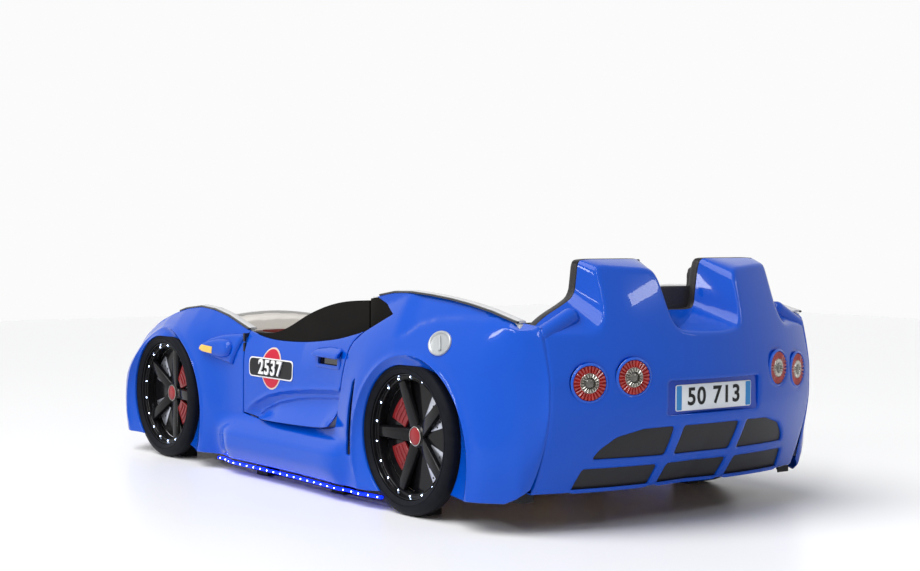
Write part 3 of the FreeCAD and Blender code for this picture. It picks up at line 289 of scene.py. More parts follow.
def door_y(x, z):
    """Outer face of the left door, with its two creases and the lip that swells over the sill."""
    inside = smooth((DOOR_FRONT - x) / 0.09) * smooth((x + 0.33) / 0.09)
    high = height_of(CREASE_HIGH, x)
    low = height_of(CREASE_LOW, x)
    lip = height_of(DOOR_LIP, x)
    y = side_y(x, np.maximum(z, 0.185))
    y = y - inside * (0.0045 * smooth((high - z) / 0.009) + 0.0085 * smooth((high - z) / (high - low + 0.004)))
    y = y + inside * (0.0038 * bump(z, high + 0.003, 0.0045) + 0.0052 * bump(z, low + 0.002, 0.0045))
    return y + 0.043 * inside * np.clip((low - z) / (low - lip + 0.006), 0, 1) ** 1.6


def arch_edge(angle):
    """Radius and y of the wheel opening's edge, which opens out towards the rear."""
    back = smooth(np.clip(-np.cos(angle), 0, 1) * 1.25)
    return ARCH_R + 0.024 * back, ARCH_Y - 0.030 * back


def flare_reach(angle):
    """Distance from the axle to the flare line."""
    ray = FLARE_DX * np.cos(angle) + FLARE_DZ * np.sin(angle)
    reach = ray + np.sqrt(ray ** 2 - FLARE_DX ** 2 - FLARE_DZ ** 2 + FLARE_R ** 2)
    return np.maximum(reach, arch_edge(angle)[0] + ARCH_LIP)


def body_y(x, z):
    """Side face with the sloped bands that lead in to the wheel openings."""
    y = side_y(x, z)
    for axle in (REAR_AXLE, FRONT_AXLE):
        angle = np.arctan2(z - AXLE_Z, x - axle)
        d = np.hypot(x - axle, z - AXLE_Z)
        reach = flare_reach(angle)
        edge = side_y(axle + reach * np.cos(angle), AXLE_Z + reach * np.sin(angle))
        radius, level = arch_edge(angle)
        band = edge + (level - edge) * (reach - d) / (reach - radius)
        w = smooth((d - reach + 0.005) / 0.010)
        y = np.where(d < reach + 0.005, band + (y - band) * w, y)
        y = y + 0.0042 * bump(d - reach, 0.001, 0.006) * smooth((z - 0.06) / 0.06)
    return y


def rear_x(y, z):
    """Outer face of the rear panel."""
    lean = 0.075 * (np.clip(z - 0.360, 0, None) / 0.25) ** 1.3
    tuck = 0.118 * (np.clip(0.300 - z, 0, None) / 0.2) ** 1.5 * (1.0 - 0.5 * np.abs(y) / REAR_HALF)
    return TAIL_X + REAR_BOW * y * y + lean + tuck


# ---------------- making pieces
def curve_through(points, step):
    """Points at even steps on a rounded line through the given ones."""
    p = np.array(points, dtype=float)
    p = np.vstack([2 * p[0] - p[1], p, 2 * p[-1] - p[-2]])
    out = []
    for a, b, c, d in zip(p, p[1:], p[2:], p[3:]):
        count = max(1, int(np.linalg.norm(c - b) / step))
        t = np.arange(count)[:, None] / count
        out.append(0.5 * (2 * b + (c - a) * t + (2 * a - 5 * b + 4 * c - d) * t ** 2
                          + (3 * b - a - 3 * c + d) * t ** 3))
    return np.vstack(out + [p[-2:-1]])


def straight(points, step):
    """Points at even steps on straight runs, without the last corner."""
    out = []
    for a, b in zip(np.array(points, dtype=float), np.array(points, dtype=float)[1:]):
        count = max(1, int(np.linalg.norm(b - a) / step))
        out.append(a + (b - a) * np.arange(count)[:, None] / count)
    return np.vstack(out)


def rounded_loop(points, radius, step, turns=5):
    """Closed outline with its corners rounded."""
    p = np.array(points, dtype=float)
    out = []
    for a, b, c in zip(np.roll(p, 1, 0), p, np.roll(p, -1, 0)):
        r1 = min(radius, 0.45 * np.linalg.norm(a - b))
        r2 = min(radius, 0.45 * np.linalg.norm(c - b))
        s = b + (a - b) / np.linalg.norm(a - b) * r1
        e = b + (c - b) / np.linalg.norm(c - b) * r2
        t = np.linspace(0, 1, turns)[:, None]
        out.append((1 - t) ** 2 * s + 2 * t * (1 - t) * b + t * t * e)
    loop = np.vstack(out)
    return straight(np.vstack([loop, loop[:1]]), step)


def turning(loop):
    a, b = loop, np.roll(loop, -1, 0)
    return np.sum(a[:, 0] * b[:, 1] - b[:, 0] * a[:, 1])


def oriented(loop, sign):
    return loop if turning(loop) * sign > 0 else loop[::-1]


def drawn_in(loop, amount):
    """Moves each point of a loop to its left by an amount."""
    d1 = loop - np.roll(loop, 1, 0)
    d2 = np.roll(loop, -1, 0) - loop
    d1 /= np.maximum(np.linalg.norm(d1, axis=1), 1e-9)[:, None]
    d2 /= np.maximum(np.linalg.norm(d2, axis=1), 1e-9)[:, None]
    n1 = np.stack([-d1[:, 1], d1[:, 0]], 1)
    n2 = np.stack([-d2[:, 1], d2[:, 0]], 1)
    scale = np.maximum(1.0 + np.sum(n1 * n2, 1), 0.5)
    return loop + amount * (n1 + n2) / scale[:, None]


def inside(points, loop):
    """Which of the points lie within a loop."""
    x, y = points[:, 0], points[:, 1]
    hit = np.zeros(len(points), dtype=bool)
    for (xa, ya), (xb, yb) in zip(loop, np.roll(loop, -1, 0)):
        if ya == yb:
            continue
        cross = (ya > y) != (yb > y)
        hit ^= cross & (x < (xb - xa) * (y - ya) / (yb - ya) + xa)
    return hit


def attach(obj, body):
    """A new piece takes its body's motion."""
    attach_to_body(obj, body)


def new_piece(name, verts, faces, mat, body="bed"):
    """Piece of a list of faces, with its doubles merged and its faces turned outwards."""
    obj = loose(name, verts, [], faces)
    obj.data.validate()
    mesh = bmesh.new()
    mesh.from_mesh(obj.data)
    bmesh.ops.remove_doubles(mesh, verts=mesh.verts, dist=1e-6)
    bmesh.ops.recalc_face_normals(mesh, faces=mesh.faces)
    mesh.to_mesh(obj.data)
    mesh.free()
    return dressed(obj, [mat], body)


def mirror_piece(obj, name, body="bed"):
    """Copy of a piece on the car's right."""
    mesh = obj.data.copy()
    mesh.name = name
    twin = put(name, mesh)
    mesh.transform(MIRROR)
    mesh.flip_normals()
    attach(twin, body)
    return twin


def shell(surface, outline, holes, step, radius, depth, extra=(), wall=None):
    """Moulded skin over a trimmed area: rounded edges, walls and a back, as vertices and faces.

    surface turns two arrays of area coordinates into points; wall gives the far ends of the outer wall.
    """
    loops = [oriented(outline, 1)] + [oriented(h, -1) for h in holes]
    inner = [drawn_in(l, radius) for l in loops]
    low, high = inner[0].min(0), inner[0].max(0)
    us, vs = np.meshgrid(np.arange(low[0], high[0], step), np.arange(low[1], high[1], step))
    us[1::2] += step / 2
    field = np.stack([us.ravel(), vs.ravel()], 1)
    if len(extra):
        near = np.zeros(len(field), dtype=bool)
        for chunk in np.array_split(np.arange(len(field)), 40):
            gap = np.abs(field[chunk][:, None, :] - extra[None, :, :]).max(2).min(1)
            near[chunk] = gap < step * 0.55
        field = np.vstack([field[~near], extra])
    keep = inside(field, drawn_in(inner[0], 0.45 * step))
    for loop in inner[1:]:
        keep &= ~inside(field, drawn_in(loop, 0.45 * step))
    field = field[keep]
    uv, tris, place = triangles(inner, field)
    middle = uv[tris].mean(1)
    keep = inside(middle, inner[0])
    for loop in inner[1:]:
        keep &= ~inside(middle, loop)
    faces = tris[keep].tolist()
    front = surface(uv[:, 0], uv[:, 1])
    away = surface(uv[:, 0], uv[:, 1], depth)
    verts = list(front) + list(away)
    faces += [[i + len(front) for i in reversed(f)] for f in faces]
    first = 0
    for number, (loop, trimmed) in enumerate(zip(loops, inner)):
        count = len(loop)
        top = [place[first + i] for i in range(count)]
        start = front[top]
        corner = surface(loop[:, 0], loop[:, 1])
        end = surface(loop[:, 0], loop[:, 1], depth)
        if wall is not None and number == 0:
            end = wall(loop, corner)
        way = (end - corner) / np.maximum(np.linalg.norm(end - corner, axis=1), 1e-9)[:, None]
        rows = [top]
        for t in (0.3, 0.6, 1.0):
            ring = (1 - t) ** 2 * start + 2 * t * (1 - t) * corner + t * t * (corner + way * radius)
            rows.append(list(range(len(verts), len(verts) + count)))
            verts += list(ring)
        rows.append(list(range(len(verts), len(verts) + count)))
        verts += list(end)
        if wall is None or number:
            rows.append([i + len(front) for i in top])
        for a, b in zip(rows, rows[1:]):
            for i in range(count):
                k = (i + 1) % count
                faces.append([a[i], a[k], b[k], b[i]])
        first += count
    return verts, faces


def side_surface(form):
    def surface(u, v, depth=0.0):
        return np.stack([u, form(u, v) - depth, v], 1)
    return surface


def rear_surface(u, v, depth=0.0):
    return np.stack([rear_x(u, v) + depth, u, v], 1)


def around(axle, angle, reach):
    """Points (x, z) at angles and distances round an axle."""
    return np.stack([axle + reach * np.cos(angle), AXLE_Z + reach * np.sin(angle)], 1)


def ring_points(axle, offset, start, stop, count):
    a = np.radians(np.linspace(start, stop, count))
    return around(axle, a, flare_reach(a) + offset)


def circle(x, z, radius, count):
    a = np.linspace(0, 2 * np.pi, count, endpoint=False)
    return np.stack([x + radius * np.cos(a), z + radius * np.sin(a)], 1)


def triangles(loops, field):
    """Triangles of an area with the loops as edges, its points, and where each input point went."""
    flat = [Vector(p) for p in np.vstack(list(loops) + ([field] if len(field) else []))]
    edges = []
    first = 0
    for loop in loops:
        edges += [(first + i, first + (i + 1) % len(loop)) for i in range(len(loop))]
        first += len(loop)
    points, _, tris, origin, _, _ = geometry.delaunay_2d_cdt(flat, edges, [], 0, 1e-7)
    uv = np.array([tuple(p) for p in points])
    tris = np.array([t for t in tris if len(t) == 3])
    place = {}
    for index, sources in enumerate(origin):
        for source in sources:
            place[source] = index
    return uv, tris, place


def region(outline, cutters):
    """The outer loop and the holes that are left of an outline after the cutters."""
    uv, tris, _ = triangles([outline] + cutters, [])
    middle = uv[tris].mean(1)
    keep = inside(middle, outline)
    for loop in cutters:
        keep &= ~inside(middle, loop)
    used = set()
    for t in tris[keep]:
        a, b, c = uv[t]
        order = t if (b[0] - a[0]) * (c[1] - a[1]) > (c[0] - a[0]) * (b[1] - a[1]) else t[::-1]
        used.update(((order[0], order[1]), (order[1], order[2]), (order[2], order[0])))
    onward = {a: b for a, b in used if (b, a) not in used}
    loops = []
    while onward:
        start, here = onward.popitem()
        chain = [start]
        while here != start and here in onward:
            chain.append(here)
            here = onward.pop(here)
        loop = uv[chain]
        gap = np.linalg.norm(loop - np.roll(loop, 1, 0), axis=1)
        loops.append(loop[gap > 0.0012])
    loops.sort(key=lambda loop: -abs(turning(loop)))
    return loops[0], [loop for loop in loops[1:] if abs(turning(loop)) > 2e-5]


# ---------------- turned, swept and repeated pieces
def put(name, data):
    """New object in the scene for a mesh, lamp or camera."""
    obj = bpy.data.objects.new(name, data)
    bpy.context.scene.collection.objects.link(obj)
    return obj


def pick(obj):
    """Makes an object the only one selected, and the active one."""
    bpy.ops.object.select_all(action="DESELECT")
    obj.select_set(True)
    bpy.context.view_layer.objects.active = obj


def edit(obj):
    pick(obj)
    bpy.ops.object.mode_set(mode="EDIT")
    bpy.ops.mesh.select_all(action="SELECT")


def outwards(obj):
    edit(obj)
    bpy.ops.mesh.normals_make_consistent(inside=False)
    bpy.ops.object.mode_set(mode="OBJECT")
    return obj


def loose(name, verts, edges, faces):
    mesh = bpy.data.meshes.new(name)
    mesh.from_pydata([tuple(v) for v in verts], edges, faces)
    return put(name, mesh)


def turned(name, profile, steps=96, closed=True):
    """Profile of (radius, y) spun about the Y axis through the origin."""
    count = len(profile)
    edges = [(k, k + 1) for k in range(count - 1)] + ([(count - 1, 0)] if closed else [])
    obj = loose(name, [(r, y, 0.0) for r, y in profile], edges, [])
    edit(obj)
    bpy.ops.mesh.spin(steps=steps, angle=2 * math.pi, center=(0, 0, 0), axis=(0, 1, 0))
    bpy.ops.mesh.select_all(action="SELECT")
    bpy.ops.mesh.remove_doubles(threshold=1e-5)
    bpy.ops.mesh.normals_make_consistent(inside=False)
    bpy.ops.object.mode_set(mode="OBJECT")
    return obj


def modify(obj, kind, **settings):
    pick(obj)
    modifier = obj.modifiers.new(kind.lower(), kind)
    for key, value in settings.items():
        setattr(modifier, key, value)
    bpy.ops.object.modifier_apply(modifier=modifier.name)


def softened_edges(obj, width, segments=2, angle=35.0):
    modify(obj, "BEVEL", width=width, segments=segments, limit_method="ANGLE", angle_limit=math.radians(angle))


def joined(name, pieces):
    """One object of several, each with its own mesh."""
    bpy.ops.object.select_all(action="DESELECT")
    for piece in pieces:
        piece.select_set(True)
    bpy.context.view_layer.objects.active = pieces[0]
    if len(pieces) > 1:
        bpy.ops.object.join()
    pieces[0].name = name
    pieces[0].data.name = name
    return pieces[0]


def set_out(obj, matrices):
    """The piece repeated at each matrix, as one mesh; mirrored ones are turned the right way out."""
    copies = []
    for matrix in matrices:
        mesh = obj.data.copy()
        mesh.transform(matrix)
        if matrix.determinant() < 0:
            mesh.flip_normals()
        copies.append(put(obj.name, mesh))
    name = obj.name
    bpy.data.objects.remove(obj)
    return joined(name, copies)


def dressed(obj, mats, body="bed", angle=35.0):
    """Smooth shading, materials and body of a piece that keeps its material numbers."""
    pick(obj)
    bpy.ops.object.shade_smooth_by_angle(angle=math.radians(angle))
    obj.select_set(False)
    numbers = [p.material_index for p in obj.data.polygons]
    obj.data.materials.clear()
    for mat in mats:
        obj.data.materials.append(mat)
    obj.data.polygons.foreach_set("material_index", numbers)
    attach(obj, body)
    return obj


def block(name, corners, thickness):
    """Flat piece of (x, z) corners, from y 0 to a thickness, made from a disc of as many sides."""
    bpy.ops.object.select_all(action="DESELECT")
    bpy.ops.mesh.primitive_circle_add(vertices=len(corners), radius=1.0, fill_type="NGON")
    obj = bpy.context.active_object
    obj.name = name
    for vertex, (x, z) in zip(obj.data.vertices, corners):
        vertex.co = (x, 0.0, z)
    edit(obj)
    bpy.ops.mesh.extrude_region_move(TRANSFORM_OT_translate={"value": (0, thickness, 0)})
    bpy.ops.mesh.select_all(action="SELECT")
    bpy.ops.mesh.normals_make_consistent(inside=False)
    bpy.ops.object.mode_set(mode="OBJECT")
    return obj


def swept(name, path, section, across=(0, 1, 0), sizes=None):
    """Section of (across, outwards) points carried along a path that stays square to one axis."""
    path = np.array(path, dtype=float)
    side = np.array(across, dtype=float)
    verts, faces = [], []
    run = np.gradient(path, axis=0)
    run /= np.linalg.norm(run, axis=1)[:, None]
    out = np.cross(run, side)
    count = len(section)
    for here, normal, size in zip(path, out, sizes if sizes is not None else np.ones(len(path))):
        verts += [here + (side * a + normal * b) * size for a, b in section]
    for k in range(len(path) - 1):
        for m in range(count):
            n = (m + 1) % count
            faces.append([k * count + m, k * count + n, (k + 1) * count + n, (k + 1) * count + m])
    faces.append(list(range(count)))
    faces.append([len(verts) - count + m for m in reversed(range(count))])
    return loose(name, verts, [], faces)


def oval(width, height, count=12, power=2.6):
    """Rounded section, from a circle towards a rectangle as the power grows."""
    out = []
    for k in range(count):
        a = 2 * math.pi * k / count
        c, d = math.cos(a), math.sin(a)
        out.append((width / 2 * math.copysign(abs(c) ** (2 / power), c),
                    height / 2 * math.copysign(abs(d) ** (2 / power), d)))
    return out


def both_strips(name, pieces, mat, angle=40.0):
    """Strips of the left side and their mirror images as one piece."""
    obj = outwards(joined(name, pieces))
    return dressed(set_out(obj, [Matrix.Identity(4), MIRROR]), [mat], angle=angle)


# ---------------- side panels and doors
def door_loop(gap):
    lip = [(x, z + gap) for x, z in DOOR_LIP]
    rear = [(x + gap, z) for x, z in DOOR_REAR]
    lip[0] = (DOOR_FRONT - gap, lip[0][1])
    lip[-1] = rear[0]
    start = (DOOR_FRONT - gap, float(height_of(BELT_FRONT, DOOR_FRONT - gap)))
    top = [start] + [p for p in BELT_FRONT if DOOR_FRONT - gap > p[0] > -.37] + [rear[-1]]
    up = straight([start, lip[0]], 0.006)
    return np.vstack([up, curve_through(lip, 0.006)[:-1], curve_through(rear, 0.006)[:-1],
                      curve_through(top, 0.006)[::-1][:-1]])


def side_panel():
    front = curve_through(BELT_FRONT, 0.006)
    rear = curve_through(BELT_REAR, 0.006)
    quarter = straight([front[-1], QUARTER_CORNER, rear[0]], 0.005)
    bottom = [rear[-1], (-.985, .092), (-.930, .076), (-.700, .070), (-.420, SILL_Z), (.500, SILL_Z),
              (.880, .062), (.985, .062), (1.062, .070), front[0]]
    corner = [(float(rear_x(REAR_HALF, z)) + .0010 + .016 * float(np.clip((.112 - z) / .03, 0, 1)) ** 2, z)
              for z in np.linspace(.486, .090, 40)]
    rear = rear[rear[:, 0] > corner[0][0] + .004]
    bottom = corner + bottom[2:]
    outline = np.vstack([front[:-1], quarter, rear, straight(bottom, 0.006)])
    door = door_loop(0.0)
    above = np.array([(DOOR_FRONT, .5), (DOOR_FRONT, .38), (-.30, .40), (-.372, .446), (-.372, .5)])
    intake = rounded_loop(INTAKE, 0.0025, 0.006)
    turn = np.radians(np.arange(260) * 360 / 260)
    wheels = [around(axle, turn, arch_edge(turn)[0]) for axle in (REAR_AXLE, FRONT_AXLE)]
    outer, holes = region(outline, wheels + [door, above, intake])
    rings = [ring_points(axle, offset, -80, 260, 300) for axle in (REAR_AXLE, FRONT_AXLE)
             for offset in (-0.006, -0.0025, 0.0, 0.0025, 0.006)]
    verts, faces = shell(side_surface(body_y), outer, holes, 0.0085, 0.0025, 0.006, np.vstack(rings))
    return new_piece("side_skin_left", verts, faces, paint_blue)


def door_panel():
    cup = rounded_loop([(-.258, .348), (-.146, .348), (-.146, .372), (-.258, .372)], 0.006, 0.004)
    creases = np.vstack([curve_through([(x, z + d) for x, z in line], 0.006)
                         for line in (CREASE_HIGH, CREASE_LOW) for d in (-0.006, -0.002, 0.001, 0.004, 0.008)])
    verts, faces = shell(side_surface(door_y), door_loop(SEAM), [cup], 0.008, 0.0025, 0.006, creases)
    return new_piece("door_skin_shell_left", verts, faces, paint_blue, "door_left")


for skin, nodes, body in ((side_panel(), ("side_panel_left", "arch_bands"), "bed"),
                          (door_panel(), ("door_skin_left",), "door_right")):
    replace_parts(skin, *nodes)
    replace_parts(mirror_piece(skin, skin.name.replace("left", "right"), body), nodes[0].replace("left", "right"))

# ---------------- rear panel
FRONT_OUTLINE = [(0, .515), (.060, .514), (.082, .520), (.086, .560), (.094, .615), (.103, .640), (.130, .641),
                 (.207, .641), (.285, .641), (.300, .636), (.304, .600), (.310, .556), (.345, .535), (.400, .510),
                 (.438, .482)]
REAR_OUTLINE = [(0, .479), (.055, .479), (.096, .484), (.112, .510), (.124, .555), (.134, .592), (.150, .612),
                (.207, .613), (.258, .612), (.268, .598), (.273, .552), (.284, .492), (.312, .452), (.370, .441),
                (.438, .441)]
REAR_STATION = HEAD_OUT - 0.112
TAIL_LAMPS = ((.243, .370), (.350, .359))
LAMP_R = 0.041
RECESS = (.150, .278, .358)
PLATE_FLOOR = TAIL_X + 0.020
GRILLES = [[(.121, .179), (.318, .179), (.306, .200), (.272, .229), (.205, .247), (.121, .249)],
           [(.130, .104), (.345, .104), (.334, .154), (.130, .154)],
           [(-.092, .179), (.092, .179), (.092, .249), (-.092, .249)],
           [(-.099, .104), (.099, .104), (.099, .154), (-.099, .154)]]


def softened(points, turns=2):
    """Corners cut twice over, so that an outline of few points runs in short curves."""
    p = np.array(points, dtype=float)
    for _ in range(turns):
        q = 0.75 * p[:-1] + 0.25 * p[1:]
        r = 0.25 * p[:-1] + 0.75 * p[1:]
        p = np.vstack([p[:1], np.stack([q, r], 1).reshape(-1, 2)[1:-1], p[-1:]])
    return p


def both_sides(half):
    half = np.array(half, dtype=float)
    return np.vstack([half[:0:-1] * (-1, 1), half])


def dense(line, parts):
    t = np.linspace(0, 1, parts, endpoint=False)[None, :, None]
    steps = line[:-1, None, :] * (1 - t) + line[1:, None, :] * t
    return np.vstack([steps.reshape(-1, line.shape[1]), line[-1:]])


HUMP_FRONT = dense(softened(both_sides(FRONT_OUTLINE)), 3)
HUMP_REAR = dense(softened(both_sides(REAR_OUTLINE)), 3)


def hump_edge():
    """Where the tops of the rear panel meet its rear face: (y, z)."""
    t = np.ones(len(HUMP_FRONT))
    for _ in range(60):
        at = HUMP_FRONT + (HUMP_REAR - HUMP_FRONT) * t[:, None]
        t = 0.5 * t + 0.5 * (rear_x(at[:, 0], at[:, 1]) - HEAD_OUT) / (REAR_STATION - HEAD_OUT)
    return HUMP_FRONT + (HUMP_REAR - HUMP_FRONT) * t[:, None]


def mirrored(loop):
    return [(-y, z) for y, z in loop]


def rear_panel():
    top = hump_edge()
    last = top[-1]
    low = [(last[0], last[1]), (REAR_HALF, .100), (REAR_HALF - .004, .096), (-REAR_HALF + .004, .096),
           (-REAR_HALF, .100), (top[0][0], top[0][1])]
    outline = np.vstack([top[:-1], straight(low, 0.008)])
    half, bottom, high = RECESS
    holes = [rounded_loop([(-half, bottom), (half, bottom), (half, high), (-half, high)], 0.008, 0.006)]
    for loop in GRILLES[:2]:
        holes += [rounded_loop(loop, 0.008, 0.006), rounded_loop(mirrored(loop), 0.008, 0.006)]
    holes += [rounded_loop(loop, 0.008, 0.006) for loop in GRILLES[2:]]
    holes += [circle(side * y, z, LAMP_R + 0.0005, 72) for side in (1, -1) for y, z in TAIL_LAMPS]
    count = len(top)

    def wall(loop, corner):
        end = corner + np.array((0.035, 0, 0))
        for i, point in enumerate(loop):
            near = np.hypot(top[:, 0] - point[0], top[:, 1] - point[1])
            k = int(near.argmin())
            if near[k] < 1e-6:
                end[i] = (HEAD_OUT - 0.0005, HUMP_FRONT[k][0], HUMP_FRONT[k][1])
        return end

    verts, faces = shell(rear_surface, outline, holes, 0.0085, 0.009, 0.008, (), wall)
    return new_piece("rear_shell", verts, faces, paint_blue)


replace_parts(rear_panel(), "rear_panel")


# ---------------- wheels
RIM_R = TYRE_R - 0.038
LEDGE_Y = SIDE_OUT + 0.029
HUB_Y = SIDE_OUT + 0.013
TYRE_OUT = SIDE_OUT + 0.049
LEDGE_R = RIM_R - 0.0095


def wheel_places(front_turn=0.0):
    """Matrices of the four wheels; the front ones are turned on their axle."""
    out = []
    for axle, turn in ((REAR_AXLE, 0.0), (FRONT_AXLE, front_turn)):
        matrix = Matrix.Translation((axle, 0, AXLE_Z)) @ Matrix.Rotation(math.radians(turn), 4, "Y")
        out += [matrix, MIRROR @ matrix]
    return out


def tyres():
    r = TYRE_R
    o = TYRE_OUT
    profile = [(RIM_R, SIDE_OUT + .005), (r - .008, SIDE_OUT + .005), (r - .002, SIDE_OUT + .009),
               (r, SIDE_OUT + .015), (r, o - .016), (r - .0015, o - .011), (r - .005, o - .006),
               (r - .011, o - .0025), (r - .018, o - .0006), (r - .024, o), (r - .0245, o - .0012),
               (r - .026, o - .0012), (r - .0265, o), (r - .033, o - .0026), (r - .038, o - .0062), (RIM_R, o - .010)]
    obj = set_out(turned("tyre_shells", profile, 128), wheel_places())
    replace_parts(dressed(obj, [tyre_rubber], angle=40), "tyres")


def rims():
    r = RIM_R
    lip = SIDE_OUT + .039
    barrel = turned("rim_shells", [
        (r - .014, SIDE_OUT), (r, SIDE_OUT), (r, lip - .001), (r - .0008, lip + .0005), (r - .0022, lip + .001),
        (r - .0038, lip), (r - .0048, lip - .003), (r - .0052, LEDGE_Y + .0015), (r - .0062, LEDGE_Y),
        (r - .0125, LEDGE_Y), (r - .0135, LEDGE_Y + .0012), (r - .0150, LEDGE_Y + .0012), (r - .0162, LEDGE_Y - .0006),
        (r - .0170, LEDGE_Y - .004), (r - .0172, SIDE_OUT + .004)], 128)
    hub = turned("hub", [(0.0, SIDE_OUT), (.030, SIDE_OUT), (.030, HUB_Y - .003), (.0285, HUB_Y - .0008),
                         (.0265, HUB_Y), (.0, HUB_Y)], 64, closed=False)
    spokes = []
    for k in range(5):
        bpy.ops.object.select_all(action="DESELECT")
        bpy.ops.mesh.primitive_cube_add(size=1.0)
        spoke = bpy.context.active_object
        for vertex in spoke.data.vertices:
            x, y, z = vertex.co
            outer = x > 0
            face = y > 0
            half = (.0125 if outer else .0155) + (0.0 if face else .0045)
            level = LEDGE_Y - .0015 if outer else HUB_Y - .0005
            vertex.co = (r - .0175 if outer else .026, level - (0.0 if face else .011), math.copysign(half, z))
        softened_edges(spoke, .0016, 2)
        for polygon in spoke.data.polygons:
            polygon.material_index = 1 if polygon.normal.y > .93 else 0
        spoke.data.transform(Matrix.Rotation(math.radians(-72.0 * k), 4, "Y"))
        spokes.append(spoke)
    spokes[0].data.materials.append(None)
    obj = joined("rim_shells", [barrel, hub] + spokes)
    obj = set_out(obj, wheel_places(-36.0))
    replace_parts(dressed(obj, [rim_black, spoke_grey]), "rims")


def sector(inner, outer, start, stop, count=9):
    out = []
    for k in range(count):
        a = math.radians(start + (stop - start) * k / (count - 1))
        out.append((outer * math.cos(a), outer * math.sin(a)))
    for k in range(count):
        a = math.radians(stop - (stop - start) * k / (count - 1))
        out.append((inner * math.cos(a), inner * math.sin(a)))
    return out


def brakes():
    plate = turned("brake_disc_shells", [(.0, SIDE_OUT), (RIM_R - .0174, SIDE_OUT), (RIM_R - .0174, SIDE_OUT + .0025),
                                         (.0, SIDE_OUT + .0025)], 72, closed=False)
    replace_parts(dressed(set_out(plate, wheel_places()), [rim_black]), "brake_discs")
    plates, drillings, blocks, ribs = [], [], [], []
    for middle in (-38.0, 38.0):
        piece = block("disc_plates", sector(.058, .126, 180 + middle - 22, 180 + middle + 22), .0022)
        piece.data.transform(Matrix.Translation((0, SIDE_OUT + .0026, 0)))
        softened_edges(piece, .0006, 2)
        plates.append(piece)
        for row, radius in enumerate((.070, .086, .102, .117)):
            for step in (-13.0, 0.0, 13.0):
                a = math.radians(180 + middle + step + (5.0 if row % 2 else 0.0))
                hole = turned("drillings", [(0.0, .0), (.0028, .0), (.0028, .0006), (.0, .0006)], 14, closed=False)
                hole.data.transform(Matrix.Translation((radius * math.cos(a), SIDE_OUT + .0046, radius * math.sin(a))))
                drillings.append(hole)
        caliper = block("caliper_shells", sector(.052, .112, middle - 19, middle + 19), .0075)
        caliper.data.transform(Matrix.Translation((0, SIDE_OUT + .003, 0)))
        softened_edges(caliper, .0022, 3)
        blocks.append(caliper)
        for radius in (.070, .084, .098):
            rib = block("ribs", sector(radius - .0035, radius + .0035, middle - 15, middle + 15, 7), .0022)
            rib.data.transform(Matrix.Translation((0, SIDE_OUT + .0102, 0)))
            softened_edges(rib, .0008, 2)
            blocks.append(rib)
    places = wheel_places(180.0)
    dressed(set_out(joined("disc_plates", plates), places), [disc_steel])
    dressed(set_out(joined("drillings", drillings), places), [ink_black])
    calipers = dressed(set_out(joined("caliper_shells", blocks), places), [caliper_red])
    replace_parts(calipers, "brake_calipers")


def caps():
    cap = turned("hub_cap_shells", [(0.0, HUB_Y + .0048), (.010, HUB_Y + .0046), (.0185, HUB_Y + .0036),
                                    (.0215, HUB_Y + .002), (.0222, HUB_Y)], 48, closed=False)
    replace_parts(dressed(set_out(cap, wheel_places()), [cap_red]), "hub_caps")
    ring = turned("hub_cap_rings", [(.0222, HUB_Y), (.0222, HUB_Y + .0024), (.0232, HUB_Y + .0030),
                                    (.0246, HUB_Y + .0024), (.0250, HUB_Y)], 48)
    dressed(set_out(ring, wheel_places()), [chrome])
    beads = []
    for k in range(18):
        bead = turned("wheel_beads", [(0.0, .0020), (.0010, .0017), (.0017, .0010), (.0019, 0.0)], 12, closed=False)
        a = math.radians(20.0 * k + 10.0)
        bead.data.transform(Matrix.Translation((LEDGE_R * math.cos(a), LEDGE_Y + .0001, LEDGE_R * math.sin(a))))
        beads.append(bead)
    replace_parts(dressed(set_out(joined("wheel_beads", beads), wheel_places()), [led_white]), "wheel_lamps")


tyres()
rims()
brakes()
caps()


# ---------------- tail lamps
def rear_frame(y, z):
    """Matrix that turns a piece built about the Y axis to look out of the rear face at (y, z)."""
    e = 0.002
    across = Vector(((rear_x(y + e, z) - rear_x(y - e, z)) / (2 * e), 1.0, 0.0)).normalized()
    out = Vector((-1.0, across.x, 0.0)).normalized()
    up = Vector((0, 0, 1))
    matrix = Matrix((up.cross(out) * -1, out, up)).transposed().to_4x4()
    matrix.translation = (float(rear_x(y, z)), y, z)
    return matrix


LAMP_PLACES = [rear_frame(side * y, z) for side in (1, -1) for y, z in TAIL_LAMPS]


def cells(name, inner, outer, count, low, high):
    """Ring of radial cells: each rises from its sides to a ridge in the middle."""
    verts, faces = [], []
    steps = count * 4
    radii = [inner, inner + .0012, (inner + outer) / 2, outer - .0012, outer]
    for k in range(steps):
        a = 2 * math.pi * k / steps
        phase = abs(math.sin(math.pi * k / 4))
        for n, radius in enumerate(radii):
            edge = 0.0 if n in (0, len(radii) - 1) else 1.0
            verts.append((radius * math.cos(a), low + (high - low) * phase * edge, radius * math.sin(a)))
    row = len(radii)
    for k in range(steps):
        m = (k + 1) % steps
        for n in range(row - 1):
            faces.append([k * row + n, k * row + n + 1, m * row + n + 1, m * row + n])
    return loose(name, verts, [], faces)


